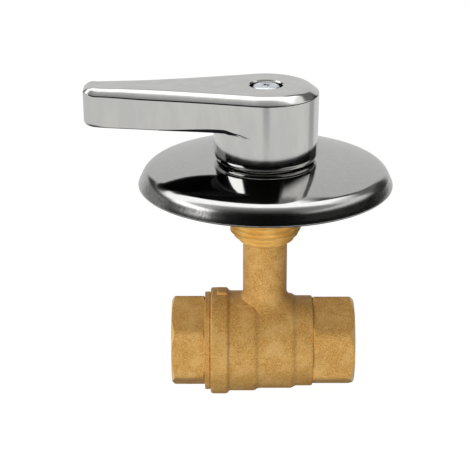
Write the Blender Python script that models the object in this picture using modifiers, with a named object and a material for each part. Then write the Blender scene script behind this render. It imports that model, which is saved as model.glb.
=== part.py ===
"""Concealed stop valve: a quarter-turn brass ball valve that is built into a wall.

The forged body has a long neck.  Its collar passes through a chromed wall rosette,
and a chromed lever on the stem's top turns the ball.

Metres, +Z up.  The pipe runs along X and the stem along Z, and they cross at the
origin.  The valve is drawn open, with the lever along the pipe towards -X.
"""
import math

import bmesh
import bpy
from mathutils import Matrix

MM = 0.001

# Clearances
GAP = 0.3 * MM
SEAL_GAP = 0.15 * MM

# Ball, seats and the bore through them
BORE_DIAMETER = 15.0 * MM
BALL_DIAMETER = 24.6 * MM
CHAMBER_CLEARANCE = 0.5 * MM
SEAT_WIDTH = 3.3 * MM
SEAT_LIP = 1.25 * MM
SEAT_POCKET_SET_BACK = 0.9 * MM
SLOT_DEPTH = 3.4 * MM

# Pipe ends, drilled for a half-inch pipe thread
THREAD_BORE_DIAMETER = 18.6 * MM
THREAD_DEPTH = 13.0 * MM
MOUTH_CHAMFER = 1.3 * MM

# Hexagons at the two ends
HEX_ACROSS_FLATS = 27.0 * MM
HEX_END_CHAMFER = 1.7 * MM
HEX_ROOT_CHAMFER = 1.25 * MM
OUTLET_HEX_LENGTH = 13.3 * MM
INLET_HEX_LENGTH = 10.7 * MM
INLET_HEX_TURN = math.radians(-3.0)

# Forged body along the pipe, from the stem axis
MOUTH_DISTANCE = 17.5 * MM
RIM_LENGTH = 5.5 * MM
SPIGOT_WALL_LENGTH = 9.3 * MM
CHAMBER_WALL_LENGTH = 12.0 * MM
OUTLET_WALL_LENGTH = 6.2 * MM
RIM_WALL = 3.4 * MM
SPIGOT_WALL = 2.4 * MM
CHAMBER_WALL = 2.7 * MM
OUTLET_WALL = 1.9 * MM
STEP_SLOPE = 0.9 * MM
RIM_NUB_HEIGHT = 0.65 * MM
RIM_NUB_LENGTH = 3.3 * MM
RIM_NUB_WIDTH = 5.0 * MM

# End adapter
SPIGOT_STEP = 0.8 * MM
SHOULDER_DIAMETER = 31.8 * MM
SHOULDER_LENGTH = 1.5 * MM
JOINT_RING_SECTION = 1.5 * MM
JOINT_RING_SET_BACK = 1.2 * MM

# Neck, collar and what they hold
NECK_DIAMETER = 14.1 * MM
NECK_FLARE = 1.6 * MM
NECK_FLARE_RADIUS = 3.2 * MM
COLLAR_BASE = 39.1 * MM
COLLAR_LENGTH = 29.9 * MM
GLAND_POCKET_DIAMETER = 15.4 * MM
GLAND_POCKET_DEPTH = 16.0 * MM
WASHER_THICKNESS = 1.0 * MM
STEM_FLANGE_THICKNESS = 2.0 * MM
SPANNER_SLOT_WIDTH = 2.4 * MM
SPANNER_SLOT_DEPTH = 1.8 * MM

# Stops on the collar for the quarter turn
TURN_ANGLE = math.radians(90.0)
STOP_PLATE_THICKNESS = 1.5 * MM
STOP_TAB_WIDTH = 5.0 * MM
STOP_TAB_SET_BACK = 0.75 * MM
STOP_LUG_ANGLE = math.radians(34.0)
STOP_LUG_SET_OUT = 0.625 * MM
STOP_LUG_HEIGHT = 2.4 * MM
STOP_CLEARANCE_ANGLE = math.radians(3.0)

# Stem
STEM_DIAMETER = 8.4 * MM
STEM_FLATS = 6.4 * MM
STEM_TOP_BELOW_RECESS = 3.7 * MM
TANG_THICKNESS = 3.6 * MM
STEM_RING_SECTION = 1.5 * MM
STEM_RING_HEIGHTS = (27.0 * MM, 33.0 * MM)

# Rosette, and the nut and washer that clamp it to the wall
COLLAR_STAND = 6.5 * MM
ROSETTE_DIAMETER = 80.0 * MM
ROSETTE_DEPTH = 7.8 * MM
ROSETTE_SHEET = 1.0 * MM
ROSETTE_FLAT_DIAMETER = 33.0 * MM
ROSETTE_DOME_SLOPE = math.radians(15.0)
ROSETTE_SKIRT_SLOPE = math.radians(68.0)
ROSETTE_ROLL_RADIUS = 4.0 * MM
ROSETTE_NUT_WALL = 1.9 * MM
ROSETTE_NUT_THICKNESS = 3.4 * MM
ROSETTE_NUT_CLEARANCE = 0.45 * MM
ROSETTE_WASHER_THICKNESS = 0.9 * MM

# Handle
HUB_CLEARANCE = 0.4 * MM
HUB_DIAMETER = 33.0 * MM
HUB_RISE = 17.5 * MM
HUB_DRAFT = 0.3 * MM
HUB_FOOT_HEIGHT = 2.1 * MM
HUB_FOOT_RADIUS = 3.0 * MM
HUB_WALL = 2.5 * MM
HUB_BOSS_DIAMETER = 17.6 * MM
BOSS_CLEARANCE = 1.0 * MM
TOP_EDGE_RADIUS = 2.7 * MM
LEVER_THICKNESS = 12.0 * MM
LEVER_REACH = 56.5 * MM
LEVER_TIP_WIDTH = 13.5 * MM
LEVER_TIP_CORNER = 4.0 * MM
LEVER_SIDE_ANGLE = math.radians(6.0)
LEVER_ROOT_ANGLE = math.radians(14.4)
LEVER_ROOT_FILLET = 2.0 * MM
LEVER_WALL = 2.3 * MM
LEVER_TOP_WALL = 3.0 * MM
LEVER_HUB_WALL = 1.2 * MM
LEVER_HOLLOW_DRAFT = 0.5 * MM
SCREW_RECESS_DIAMETER = 10.2 * MM
SCREW_RECESS_DEPTH = 3.6 * MM
BUSH_DIAMETER = 12.0 * MM
BUSH_RIB_HEIGHT = 0.9 * MM
BUSH_RIB_WIDTH = 2.2 * MM
BUSH_LENGTH = 6.8 * MM

# Handle screw
SCREW_DIAMETER = 4.0 * MM
SCREW_HEAD_DIAMETER = 8.6 * MM
SCREW_HEAD_HEIGHT = 2.2 * MM
SCREW_LENGTH = 12.0 * MM
CROSS_WIDTH = 1.1 * MM
CROSS_LENGTH = 4.6 * MM
CROSS_DEPTH = 1.3 * MM
LOCK_WASHER_THICKNESS = 0.8 * MM
LOCK_WASHER_SPLIT = 0.8 * MM

# Facets round a full turn
FINE_STEPS = 48
MEDIUM_STEPS = 32
COARSE_STEPS = 24
RUBBER_STEPS = 6

# Radii that several pieces share
BORE_RADIUS = BORE_DIAMETER / 2
BALL_RADIUS = BALL_DIAMETER / 2
CHAMBER_RADIUS = BALL_RADIUS + CHAMBER_CLEARANCE
SEAT_RADIUS = BORE_RADIUS + SEAT_WIDTH
SEAT_POCKET_RADIUS = SEAT_RADIUS + GAP
SPIGOT_RADIUS = CHAMBER_RADIUS + SPIGOT_STEP
SPIGOT_BORE_RADIUS = SPIGOT_RADIUS + GAP
SPIGOT_WALL_RADIUS = SPIGOT_BORE_RADIUS + SPIGOT_WALL
RIM_RADIUS = SPIGOT_BORE_RADIUS + RIM_WALL
CHAMBER_WALL_RADIUS = CHAMBER_RADIUS + CHAMBER_WALL
OUTLET_WALL_RADIUS = CHAMBER_RADIUS + OUTLET_WALL
THREAD_BORE_RADIUS = THREAD_BORE_DIAMETER / 2
HEX_CORNER_RADIUS = HEX_ACROSS_FLATS / math.sqrt(3)
NECK_RADIUS = NECK_DIAMETER / 2
GLAND_POCKET_RADIUS = GLAND_POCKET_DIAMETER / 2
STEM_RADIUS = STEM_DIAMETER / 2
NECK_BORE_RADIUS = STEM_RADIUS + GAP
HUB_RADIUS = HUB_DIAMETER / 2
HUB_CAVITY_RADIUS = HUB_RADIUS - HUB_WALL
BUSH_RADIUS = BUSH_DIAMETER / 2

# The hub hides the nut that is screwed on the collar, so its size leads to theirs
ROSETTE_NUT_RADIUS = HUB_CAVITY_RADIUS - ROSETTE_NUT_CLEARANCE
ROSETTE_HOLE_RADIUS = ROSETTE_NUT_RADIUS - ROSETTE_NUT_WALL
COLLAR_RADIUS = ROSETTE_HOLE_RADIUS - GAP
STOP_LUG_INNER = (STEM_RADIUS + COLLAR_RADIUS) / 2 + STOP_LUG_SET_OUT
STOP_TAB_REACH = COLLAR_RADIUS - STOP_TAB_SET_BACK


def ball_surface(radius, clearance=0.0):
    """Distance of the ball's surface from its centre, at this radius from the bore's axis."""
    return math.sqrt((BALL_RADIUS + clearance) ** 2 - radius ** 2)


# Stations along the pipe
SEAT_BACK = ball_surface(BORE_RADIUS) + SEAT_LIP
SEAT_POCKET_END = SEAT_BACK + GAP
CHAMBER_END = ball_surface(SEAT_POCKET_RADIUS) + SEAT_POCKET_SET_BACK
RIM_END = -MOUTH_DISTANCE + RIM_LENGTH
SPIGOT_WALL_END = RIM_END + SPIGOT_WALL_LENGTH
CHAMBER_WALL_END = SPIGOT_WALL_END + CHAMBER_WALL_LENGTH
OUTLET_HEX_START = CHAMBER_WALL_END + OUTLET_WALL_LENGTH
OUTLET_END = OUTLET_HEX_START + OUTLET_HEX_LENGTH
SHOULDER_START = -MOUTH_DISTANCE - GAP - SHOULDER_LENGTH
INLET_END = SHOULDER_START - INLET_HEX_LENGTH
JOINT_GROOVE_START = -MOUTH_DISTANCE + JOINT_RING_SET_BACK
JOINT_GROOVE_WIDTH = JOINT_RING_SECTION + 2 * SEAL_GAP

# Heights on the stem axis
COLLAR_TOP = COLLAR_BASE + COLLAR_LENGTH
GLAND_FLOOR = COLLAR_TOP - GLAND_POCKET_DEPTH
LOWER_WASHER_BASE = GLAND_FLOOR + GAP
STEM_FLANGE_BASE = LOWER_WASHER_BASE + WASHER_THICKNESS + GAP
UPPER_WASHER_BASE = STEM_FLANGE_BASE + STEM_FLANGE_THICKNESS + GAP
GLAND_BASE = UPPER_WASHER_BASE + WASHER_THICKNESS + GAP
STOP_PLATE_BASE = COLLAR_TOP + GAP
HUB_TOP = COLLAR_TOP + HUB_RISE
ROSETTE_TOP = COLLAR_TOP - COLLAR_STAND
HUB_BASE = ROSETTE_TOP + HUB_CLEARANCE
LEVER_BASE = HUB_TOP - LEVER_THICKNESS
RECESS_FLOOR = HUB_TOP - SCREW_RECESS_DEPTH
STEM_TOP = RECESS_FLOOR - STEM_TOP_BELOW_RECESS
BOSS_BASE = COLLAR_TOP + STOP_LUG_HEIGHT + BOSS_CLEARANCE
BUSH_TOP = STEM_TOP + GAP
BUSH_BASE = BUSH_TOP - BUSH_LENGTH
SLOT_FLOOR = BALL_RADIUS - SLOT_DEPTH
ROSETTE_WASHER_BASE = ROSETTE_TOP + GAP
ROSETTE_NUT_BASE = ROSETTE_WASHER_BASE + ROSETTE_WASHER_THICKNESS + GAP


def clear_scene():
    for item in list(bpy.data.objects):
        bpy.data.objects.remove(item, do_unlink=True)


def new_collection(name):
    collection = bpy.data.collections.new(name)
    bpy.context.scene.collection.children.link(collection)
    return collection


def new_material(name, color, roughness, metallic):
    material = bpy.data.materials.new(name)
    material.use_nodes = True
    shader = material.node_tree.nodes["Principled BSDF"]
    shader.inputs["Base Color"].default_value = (*color, 1.0)
    shader.inputs["Roughness"].default_value = roughness
    shader.inputs["Metallic"].default_value = metallic
    return material


clear_scene()
PARTS = new_collection("concealed_stop_valve")
CUTTERS = new_collection("cutters")

STEM_AXIS = bpy.data.objects.new("stem_axis", None)
PARTS.objects.link(STEM_AXIS)

FINISHES = {
    "forged_brass": ((0.48, 0.28, 0.08), 0.55, 1.0),
    "turned_brass": ((0.72, 0.45, 0.14), 0.28, 1.0),
    "chrome": ((0.80, 0.81, 0.82), 0.06, 1.0),
    "zinc_steel": ((0.62, 0.64, 0.66), 0.30, 1.0),
    "white_ptfe": ((0.85, 0.85, 0.83), 0.45, 0.0),
    "black_rubber": ((0.02, 0.02, 0.02), 0.60, 0.0),
    "pale_acetal": ((0.78, 0.76, 0.70), 0.40, 0.0),
}


def finished(piece, finish, turns=False):
    """Give a piece its own material, and hang it on the stem axis if it turns."""
    color, roughness, metallic = FINISHES[finish]
    piece.data.materials.clear()
    piece.data.materials.append(new_material(piece.name + "_" + finish, color, roughness, metallic))
    if turns:
        piece.parent = STEM_AXIS
    return piece


def as_cutter(tool):
    """Keep a shape as a guide only: it cuts or joins others and isn't a piece itself."""
    PARTS.objects.unlink(tool)
    CUTTERS.objects.link(tool)
    tool.hide_render = True
    tool.display_type = "WIRE"
    return tool


def from_bmesh(name, bm, smooth=False):
    mesh = bpy.data.meshes.new(name)
    bm.to_mesh(mesh)
    bm.free()
    if smooth:
        mesh.shade_smooth()
    item = bpy.data.objects.new(name, mesh)
    PARTS.objects.link(item)
    return item


def change(target, tool, operation):
    """Cut, join or intersect a piece with a guide shape."""
    boolean = target.modifiers.new(operation.lower() + "_" + tool.name, "BOOLEAN")
    boolean.operation = operation
    boolean.object = as_cutter(tool)
    boolean.solver = "EXACT"


# How a profile's height axis is laid: along the stem, or either way along the pipe
LAY = {"Z": 0.0, "X": math.pi / 2, "-X": -math.pi / 2}


def turned(name, outline, steps, along="Z", ring=False):
    """Turn an outline of (radius, height) points, which runs down its outer side."""
    count = len(outline)
    edges = [(index, index + 1) for index in range(count - 1)]
    if ring:
        edges.append((count - 1, 0))
    mesh = bpy.data.meshes.new(name)
    mesh.from_pydata([(radius, 0.0, height) for radius, height in outline], edges, [])
    piece = bpy.data.objects.new(name, mesh)
    PARTS.objects.link(piece)
    piece.rotation_euler.y = LAY[along]
    screw = piece.modifiers.new("turn", "SCREW")
    screw.axis = "Z"
    screw.steps = steps
    screw.render_steps = steps
    screw.use_smooth_shade = True
    screw.use_merge_vertices = True
    screw.merge_threshold = 0.00001
    return piece


def cylinder(name, radius, low, high, steps, along="Z"):
    return turned(name, [(0, high), (radius, high), (radius, low), (0, low)], steps, along)


def washer(name, inner, outer, low, high, steps, along="Z"):
    corners = [(outer, high), (outer, low), (inner, low), (inner, high)]
    return turned(name, corners, steps, along, ring=True)


def box(name, size, centre, turn=0.0):
    bm = bmesh.new()
    bmesh.ops.create_cube(bm, size=1.0)
    bmesh.ops.scale(bm, vec=size, verts=bm.verts)
    item = from_bmesh(name, bm)
    item.location = centre
    item.rotation_euler.z = turn
    return item


def rubber_ring(name, centre_radius, section, height, along="Z"):
    """An O-ring: centre_radius is the radius of its centre line."""
    bpy.ops.mesh.primitive_torus_add(
        major_segments=COARSE_STEPS, minor_segments=RUBBER_STEPS,
        major_radius=centre_radius, minor_radius=section / 2)
    ring = bpy.context.object
    ring.name = name
    ring.data.name = name
    ring.data.shade_smooth()
    for home in list(ring.users_collection):
        home.objects.unlink(ring)
    PARTS.objects.link(ring)
    ring.rotation_euler.y = LAY[along]
    if along == "Z":
        ring.location.z = height
    else:
        ring.location.x = height
    return ring


def arc(centre, radius, start_degrees, end_degrees, count):
    """Points on an arc, both ends included."""
    points = []
    for index in range(count + 1):
        angle = math.radians(start_degrees + (end_degrees - start_degrees) * index / count)
        points.append((centre[0] + radius * math.cos(angle), centre[1] + radius * math.sin(angle)))
    return points


def hexagon(name, start, end, turn, start_chamfer, end_chamfer):
    """A hexagon bar along X with its corners turned off at both ends.

    Unturned it has flats to the front and back, and corners at its top and bottom.
    """
    bm = bmesh.new()
    bmesh.ops.create_cone(
        bm, cap_ends=True, segments=6, radius1=HEX_CORNER_RADIUS, radius2=HEX_CORNER_RADIUS,
        depth=end - start)
    flats_to_front = math.pi / 6
    bmesh.ops.rotate(bm, verts=bm.verts, matrix=Matrix.Rotation(flats_to_front + turn, 3, "Z"))
    bar = from_bmesh(name, bm)
    bar.rotation_euler.y = LAY["X"]
    bar.location.x = (start + end) / 2
    face_radius = HEX_ACROSS_FLATS / 2
    beyond = HEX_CORNER_RADIUS + GAP
    rise = beyond - face_radius
    setback = HEX_CORNER_RADIUS - face_radius
    outline = [
        (0, end + GAP), (face_radius - GAP, end + GAP), (face_radius - GAP, end),
        (beyond, end - end_chamfer * rise / setback),
        (beyond, start + start_chamfer * rise / setback),
        (face_radius - GAP, start), (face_radius - GAP, start - GAP), (0, start - GAP)]
    change(bar, turned(name + "_chamfers", outline, FINE_STEPS, "X"), "INTERSECT")
    return bar


def pipe_socket(name, end, inwards, along):
    """Cutter for one threaded pipe end, with the bore behind it. Height runs out of the mouth."""
    floor = end - THREAD_DEPTH
    outline = [
        (0, end + MOUTH_CHAMFER), (THREAD_BORE_RADIUS + 2 * MOUTH_CHAMFER, end + MOUTH_CHAMFER),
        (THREAD_BORE_RADIUS, end - MOUTH_CHAMFER), (THREAD_BORE_RADIUS, floor),
        (BORE_RADIUS, floor - (THREAD_BORE_RADIUS - BORE_RADIUS) / 2),
        (BORE_RADIUS, inwards), (0, inwards)]
    return turned(name, outline, MEDIUM_STEPS, along)


def build_valve_body():
    body = turned("valve_body", [
        (0, OUTLET_HEX_START + THREAD_DEPTH / 2),
        (HEX_ACROSS_FLATS / 2 - 2 * GAP, OUTLET_HEX_START + THREAD_DEPTH / 2),
        (HEX_ACROSS_FLATS / 2 - 2 * GAP, OUTLET_HEX_START),
        (OUTLET_WALL_RADIUS - GAP, OUTLET_HEX_START),
        (OUTLET_WALL_RADIUS, OUTLET_HEX_START - GAP),
        (OUTLET_WALL_RADIUS, CHAMBER_WALL_END + STEP_SLOPE / 2),
        (CHAMBER_WALL_RADIUS, CHAMBER_WALL_END - STEP_SLOPE / 2),
        (CHAMBER_WALL_RADIUS, SPIGOT_WALL_END + STEP_SLOPE / 2),
        (SPIGOT_WALL_RADIUS, SPIGOT_WALL_END - STEP_SLOPE / 2),
        (SPIGOT_WALL_RADIUS, RIM_END + STEP_SLOPE),
        (SPIGOT_WALL_RADIUS + GAP, RIM_END + GAP),
        (RIM_RADIUS - GAP, RIM_END),
        (RIM_RADIUS, RIM_END - GAP),
        (RIM_RADIUS, -MOUTH_DISTANCE + GAP),
        (RIM_RADIUS - GAP, -MOUTH_DISTANCE),
        (0, -MOUTH_DISTANCE)], FINE_STEPS, "X")

    hex_start = OUTLET_HEX_START - 2 * GAP
    change(body, hexagon(
        "outlet_hexagon", hex_start, OUTLET_END, 0.0, HEX_ROOT_CHAMFER, HEX_END_CHAMFER), "UNION")

    nub_radius = RIM_RADIUS + RIM_NUB_HEIGHT - RIM_WALL / 2
    change(body, box(
        "rim_nub", (RIM_NUB_LENGTH, RIM_NUB_WIDTH, RIM_WALL),
        (RIM_END - RIM_NUB_LENGTH / 2 - GAP, 0, nub_radius)), "UNION")

    foot_radius = NECK_RADIUS + NECK_FLARE
    neck_foot = math.sqrt((CHAMBER_RADIUS + CHAMBER_WALL / 2) ** 2 - foot_radius ** 2)
    flare_top = CHAMBER_WALL_RADIUS + NECK_FLARE_RADIUS
    flare_degrees = math.degrees(math.acos(1 - NECK_FLARE / 2 / NECK_FLARE_RADIUS))
    collar_taper = COLLAR_RADIUS - NECK_RADIUS
    flare_centre = (NECK_RADIUS + NECK_FLARE_RADIUS, flare_top)
    neck_outline = [
        (0, COLLAR_TOP), (COLLAR_RADIUS - GAP, COLLAR_TOP), (COLLAR_RADIUS, COLLAR_TOP - GAP),
        (COLLAR_RADIUS, COLLAR_BASE), (NECK_RADIUS, COLLAR_BASE - collar_taper)]
    neck_outline += arc(flare_centre, NECK_FLARE_RADIUS, 180, 180 + flare_degrees, 3)
    neck_outline += [(foot_radius, neck_foot), (0, neck_foot)]
    change(body, turned("neck", neck_outline, MEDIUM_STEPS), "UNION")

    free_half = TURN_ANGLE / 2 + math.asin(STOP_TAB_WIDTH / 2 / STOP_LUG_INNER) + STOP_CLEARANCE_ANGLE
    middle = math.pi - TURN_ANGLE / 2
    for side, name in ((1, "open_stop_lug"), (-1, "shut_stop_lug")):
        centre = middle + side * (free_half + STOP_LUG_ANGLE / 2)
        change(body, stop_lug(name, centre), "UNION")

    change(body, turned("body_cavity", [
        (0, SEAT_POCKET_END), (SEAT_POCKET_RADIUS, SEAT_POCKET_END),
        (SEAT_POCKET_RADIUS, CHAMBER_END), (CHAMBER_RADIUS, CHAMBER_END),
        (CHAMBER_RADIUS, -CHAMBER_END + SEAL_GAP), (SPIGOT_BORE_RADIUS, -CHAMBER_END + SEAL_GAP),
        (SPIGOT_BORE_RADIUS, -MOUTH_DISTANCE - GAP), (0, -MOUTH_DISTANCE - GAP)],
        MEDIUM_STEPS, "X"), "DIFFERENCE")
    change(body, pipe_socket("outlet_socket", OUTLET_END, SEAT_BACK, "X"), "DIFFERENCE")
    change(body, turned("neck_bore", [
        (0, COLLAR_TOP + GAP), (GLAND_POCKET_RADIUS, COLLAR_TOP + GAP),
        (GLAND_POCKET_RADIUS, GLAND_FLOOR), (NECK_BORE_RADIUS, GLAND_FLOOR),
        (NECK_BORE_RADIUS, 0), (0, 0)], COARSE_STEPS), "DIFFERENCE")
    return finished(body, "forged_brass")


def stop_lug(name, centre_angle):
    """A raised sector on the collar's rim that stops the stem's tab."""
    steps = 6
    sink = 2 * GAP
    outer = COLLAR_RADIUS - 2 * GAP
    bm = bmesh.new()
    corners = []
    for radius, order in ((STOP_LUG_INNER, range(steps + 1)), (outer, range(steps, -1, -1))):
        for index in order:
            angle = centre_angle + STOP_LUG_ANGLE * (index / steps - 0.5)
            corners.append(bm.verts.new((
                radius * math.cos(angle), radius * math.sin(angle), COLLAR_TOP - sink)))
    base = bm.faces.new(corners)
    lifted = bmesh.ops.extrude_face_region(bm, geom=[base])
    top = [item for item in lifted["geom"] if isinstance(item, bmesh.types.BMVert)]
    bmesh.ops.translate(bm, vec=(0, 0, STOP_LUG_HEIGHT + sink), verts=top)
    bmesh.ops.recalc_face_normals(bm, faces=bm.faces)
    return from_bmesh(name, bm)


def build_end_adapter():
    spigot_end = -CHAMBER_END - GAP
    groove_radius = SPIGOT_BORE_RADIUS - 2 * SEAL_GAP - JOINT_RING_SECTION
    shoulder_radius = SHOULDER_DIAMETER / 2
    adapter = turned("end_adapter", [
        (0, spigot_end), (SPIGOT_RADIUS - GAP, spigot_end), (SPIGOT_RADIUS, spigot_end - GAP),
        (SPIGOT_RADIUS, JOINT_GROOVE_START + JOINT_GROOVE_WIDTH),
        (groove_radius, JOINT_GROOVE_START + JOINT_GROOVE_WIDTH),
        (groove_radius, JOINT_GROOVE_START),
        (SPIGOT_RADIUS, JOINT_GROOVE_START),
        (SPIGOT_RADIUS, -MOUTH_DISTANCE - GAP),
        (shoulder_radius - GAP, -MOUTH_DISTANCE - GAP),
        (shoulder_radius, -MOUTH_DISTANCE - 2 * GAP),
        (shoulder_radius, SHOULDER_START + GAP),
        (shoulder_radius - GAP, SHOULDER_START),
        (HEX_ACROSS_FLATS / 2 - 2 * GAP, SHOULDER_START),
        (HEX_ACROSS_FLATS / 2 - 2 * GAP, SHOULDER_START - THREAD_DEPTH / 2),
        (0, SHOULDER_START - THREAD_DEPTH / 2)], FINE_STEPS, "X")
    change(adapter, hexagon(
        "inlet_hexagon", INLET_END, SHOULDER_START + 2 * GAP, INLET_HEX_TURN,
        HEX_ROOT_CHAMFER, HEX_ROOT_CHAMFER), "UNION")
    change(adapter, pipe_socket("inlet_socket", -INLET_END, SEAT_BACK, "-X"), "DIFFERENCE")
    change(adapter, cylinder(
        "inlet_seat_pocket", SEAT_POCKET_RADIUS, -SEAT_POCKET_END, spigot_end + GAP,
        MEDIUM_STEPS, "X"), "DIFFERENCE")
    return finished(adapter, "forged_brass")


def build_seat(name, along):
    """A PTFE ring whose face follows the ball. Height runs away from the ball."""
    inner = BORE_RADIUS
    rows = 4
    outline = [(SEAT_RADIUS, SEAT_BACK)]
    for index in range(rows + 1):
        radius = SEAT_RADIUS + (inner - SEAT_RADIUS) * index / rows
        outline.append((radius, ball_surface(radius, GAP)))
    outline.append((inner, SEAT_BACK))
    return finished(turned(name, outline, MEDIUM_STEPS, along, ring=True), "white_ptfe")


def build_ball():
    bpy.ops.mesh.primitive_uv_sphere_add(
        segments=MEDIUM_STEPS, ring_count=MEDIUM_STEPS // 2, radius=BALL_RADIUS)
    ball = bpy.context.object
    ball.name = "ball"
    ball.data.shade_smooth()
    for home in list(ball.users_collection):
        home.objects.unlink(ball)
    PARTS.objects.link(ball)
    change(ball, cylinder(
        "ball_bore", BORE_RADIUS, -BALL_DIAMETER, BALL_DIAMETER, MEDIUM_STEPS, "X"), "DIFFERENCE")
    change(ball, box(
        "ball_slot", (TANG_THICKNESS + 2 * GAP, BALL_DIAMETER, 2 * SLOT_DEPTH),
        (0, 0, SLOT_FLOOR + SLOT_DEPTH)), "DIFFERENCE")
    return finished(ball, "chrome", turns=True)


def build_stem():
    flange_radius = GLAND_POCKET_RADIUS - 2 * GAP
    groove_radius = NECK_BORE_RADIUS - 2 * SEAL_GAP - STEM_RING_SECTION
    hole_radius = SCREW_DIAMETER / 2 + GAP
    hole_floor = RECESS_FLOOR - SCREW_LENGTH
    groove_half = STEM_RING_SECTION / 2 + SEAL_GAP
    outline = [
        (0, hole_floor), (hole_radius, hole_floor), (hole_radius, STEM_TOP),
        (STEM_RADIUS - GAP, STEM_TOP), (STEM_RADIUS, STEM_TOP - GAP),
        (STEM_RADIUS, STEM_FLANGE_BASE + STEM_FLANGE_THICKNESS),
        (flange_radius, STEM_FLANGE_BASE + STEM_FLANGE_THICKNESS),
        (flange_radius, STEM_FLANGE_BASE), (STEM_RADIUS, STEM_FLANGE_BASE)]
    for height in sorted(STEM_RING_HEIGHTS, reverse=True):
        outline += [
            (STEM_RADIUS, height + groove_half), (groove_radius, height + groove_half),
            (groove_radius, height - groove_half), (STEM_RADIUS, height - groove_half)]
    outline += [(STEM_RADIUS, SLOT_FLOOR + GAP), (0, SLOT_FLOOR + GAP)]
    stem = turned("stem", outline, COARSE_STEPS)

    tang_top = BALL_RADIUS + GAP
    tang_height = tang_top - SLOT_FLOOR
    cheek = (STEM_DIAMETER, 2 * STEM_DIAMETER, tang_height)
    flat_height = STEM_TOP - STOP_PLATE_BASE + 2 * GAP
    flat = (2 * STEM_DIAMETER, STEM_DIAMETER, flat_height)
    for side, name in ((1, "right"), (-1, "left")):
        change(stem, box("tang_" + name, cheek, (
            side * (TANG_THICKNESS + STEM_DIAMETER) / 2, 0, tang_top - tang_height / 2)), "DIFFERENCE")
        change(stem, box("stem_flat_" + name, flat, (
            0, side * (STEM_FLATS + STEM_DIAMETER) / 2, STOP_PLATE_BASE + flat_height / 2 - GAP)),
            "DIFFERENCE")
    return finished(stem, "turned_brass", turns=True)


def cut_double_d(piece, low, high):
    """Cut the hole that fits over the stem's two flats."""
    hole = cylinder(piece.name + "_hole", STEM_RADIUS + GAP, low - GAP, high + GAP, COARSE_STEPS)
    slab = box(piece.name + "_flats", (
        2 * STEM_DIAMETER, STEM_FLATS + 2 * GAP, high - low + 4 * GAP), (0, 0, (low + high) / 2))
    change(hole, slab, "INTERSECT")
    change(piece, hole, "DIFFERENCE")


def build_stop_plate():
    top = STOP_PLATE_BASE + STOP_PLATE_THICKNESS
    disc_radius = STOP_LUG_INNER - 2 * GAP
    plate = cylinder("stop_plate", disc_radius, STOP_PLATE_BASE, top, MEDIUM_STEPS)
    change(plate, box("stop_tab", (STOP_TAB_REACH, STOP_TAB_WIDTH, STOP_PLATE_THICKNESS), (
        -STOP_TAB_REACH / 2, 0, STOP_PLATE_BASE + STOP_PLATE_THICKNESS / 2)), "UNION")
    cut_double_d(plate, STOP_PLATE_BASE, top)
    return finished(plate, "zinc_steel", turns=True)


def build_gland_nut():
    inner = STEM_RADIUS + GAP
    outer = GLAND_POCKET_RADIUS - GAP
    nut = turned("gland_nut", [
        (outer - GAP, COLLAR_TOP), (outer, COLLAR_TOP - GAP), (outer, GLAND_BASE + GAP),
        (outer - GAP, GLAND_BASE), (inner, GLAND_BASE), (inner, COLLAR_TOP)],
        COARSE_STEPS, ring=True)
    change(nut, box("spanner_slot", (SPANNER_SLOT_WIDTH, GLAND_POCKET_DIAMETER, 2 * SPANNER_SLOT_DEPTH), (
        0, 0, COLLAR_TOP)), "DIFFERENCE")
    return finished(nut, "turned_brass")


def build_stem_washer(name, base):
    """A PTFE ring that the stem's flange turns on."""
    ring = washer(
        name, STEM_RADIUS + GAP, GLAND_POCKET_RADIUS - GAP, base, base + WASHER_THICKNESS, COARSE_STEPS)
    return finished(ring, "white_ptfe")


def rosette_outline():
    """The rosette's outer face from its hole to its rim, as (radius, height) points."""
    flat_radius = ROSETTE_FLAT_DIAMETER / 2
    roll_reach = ROSETTE_ROLL_RADIUS * (math.sin(ROSETTE_SKIRT_SLOPE) - math.sin(ROSETTE_DOME_SLOPE))
    roll_drop = ROSETTE_ROLL_RADIUS * (math.cos(ROSETTE_DOME_SLOPE) - math.cos(ROSETTE_SKIRT_SLOPE))
    rim_radius = ROSETTE_DIAMETER / 2
    dome_tangent = math.tan(ROSETTE_DOME_SLOPE / 2)
    skirt_tangent = math.tan(ROSETTE_SKIRT_SLOPE)
    # The dome's width is what makes dome, roll and skirt add up to the depth.
    spare = rim_radius - flat_radius - roll_reach
    dome_reach = (ROSETTE_DEPTH - roll_drop - spare * skirt_tangent) / (dome_tangent - skirt_tangent)
    dome_radius = dome_reach / math.sin(ROSETTE_DOME_SLOPE)
    dome_drop = dome_reach * dome_tangent

    dome_degrees = math.degrees(ROSETTE_DOME_SLOPE)
    skirt_degrees = math.degrees(ROSETTE_SKIRT_SLOPE)
    points = [(ROSETTE_HOLE_RADIUS, ROSETTE_TOP)]
    points += arc((flat_radius, ROSETTE_TOP - dome_radius), dome_radius, 90, 90 - dome_degrees, 3)
    dome_end = (flat_radius + dome_reach, ROSETTE_TOP - dome_drop)
    roll_centre = (
        dome_end[0] - ROSETTE_ROLL_RADIUS * math.sin(ROSETTE_DOME_SLOPE),
        dome_end[1] - ROSETTE_ROLL_RADIUS * math.cos(ROSETTE_DOME_SLOPE))
    points += arc(roll_centre, ROSETTE_ROLL_RADIUS, 90 - dome_degrees, 90 - skirt_degrees, 4)[1:]
    points.append((rim_radius, ROSETTE_TOP - ROSETTE_DEPTH))
    return points


def build_rosette():
    rosette = turned("rosette", rosette_outline(), FINE_STEPS)
    sheet = rosette.modifiers.new("sheet", "SOLIDIFY")
    sheet.thickness = ROSETTE_SHEET
    sheet.offset = -1.0
    sheet.use_even_offset = True
    return finished(rosette, "chrome")


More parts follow.
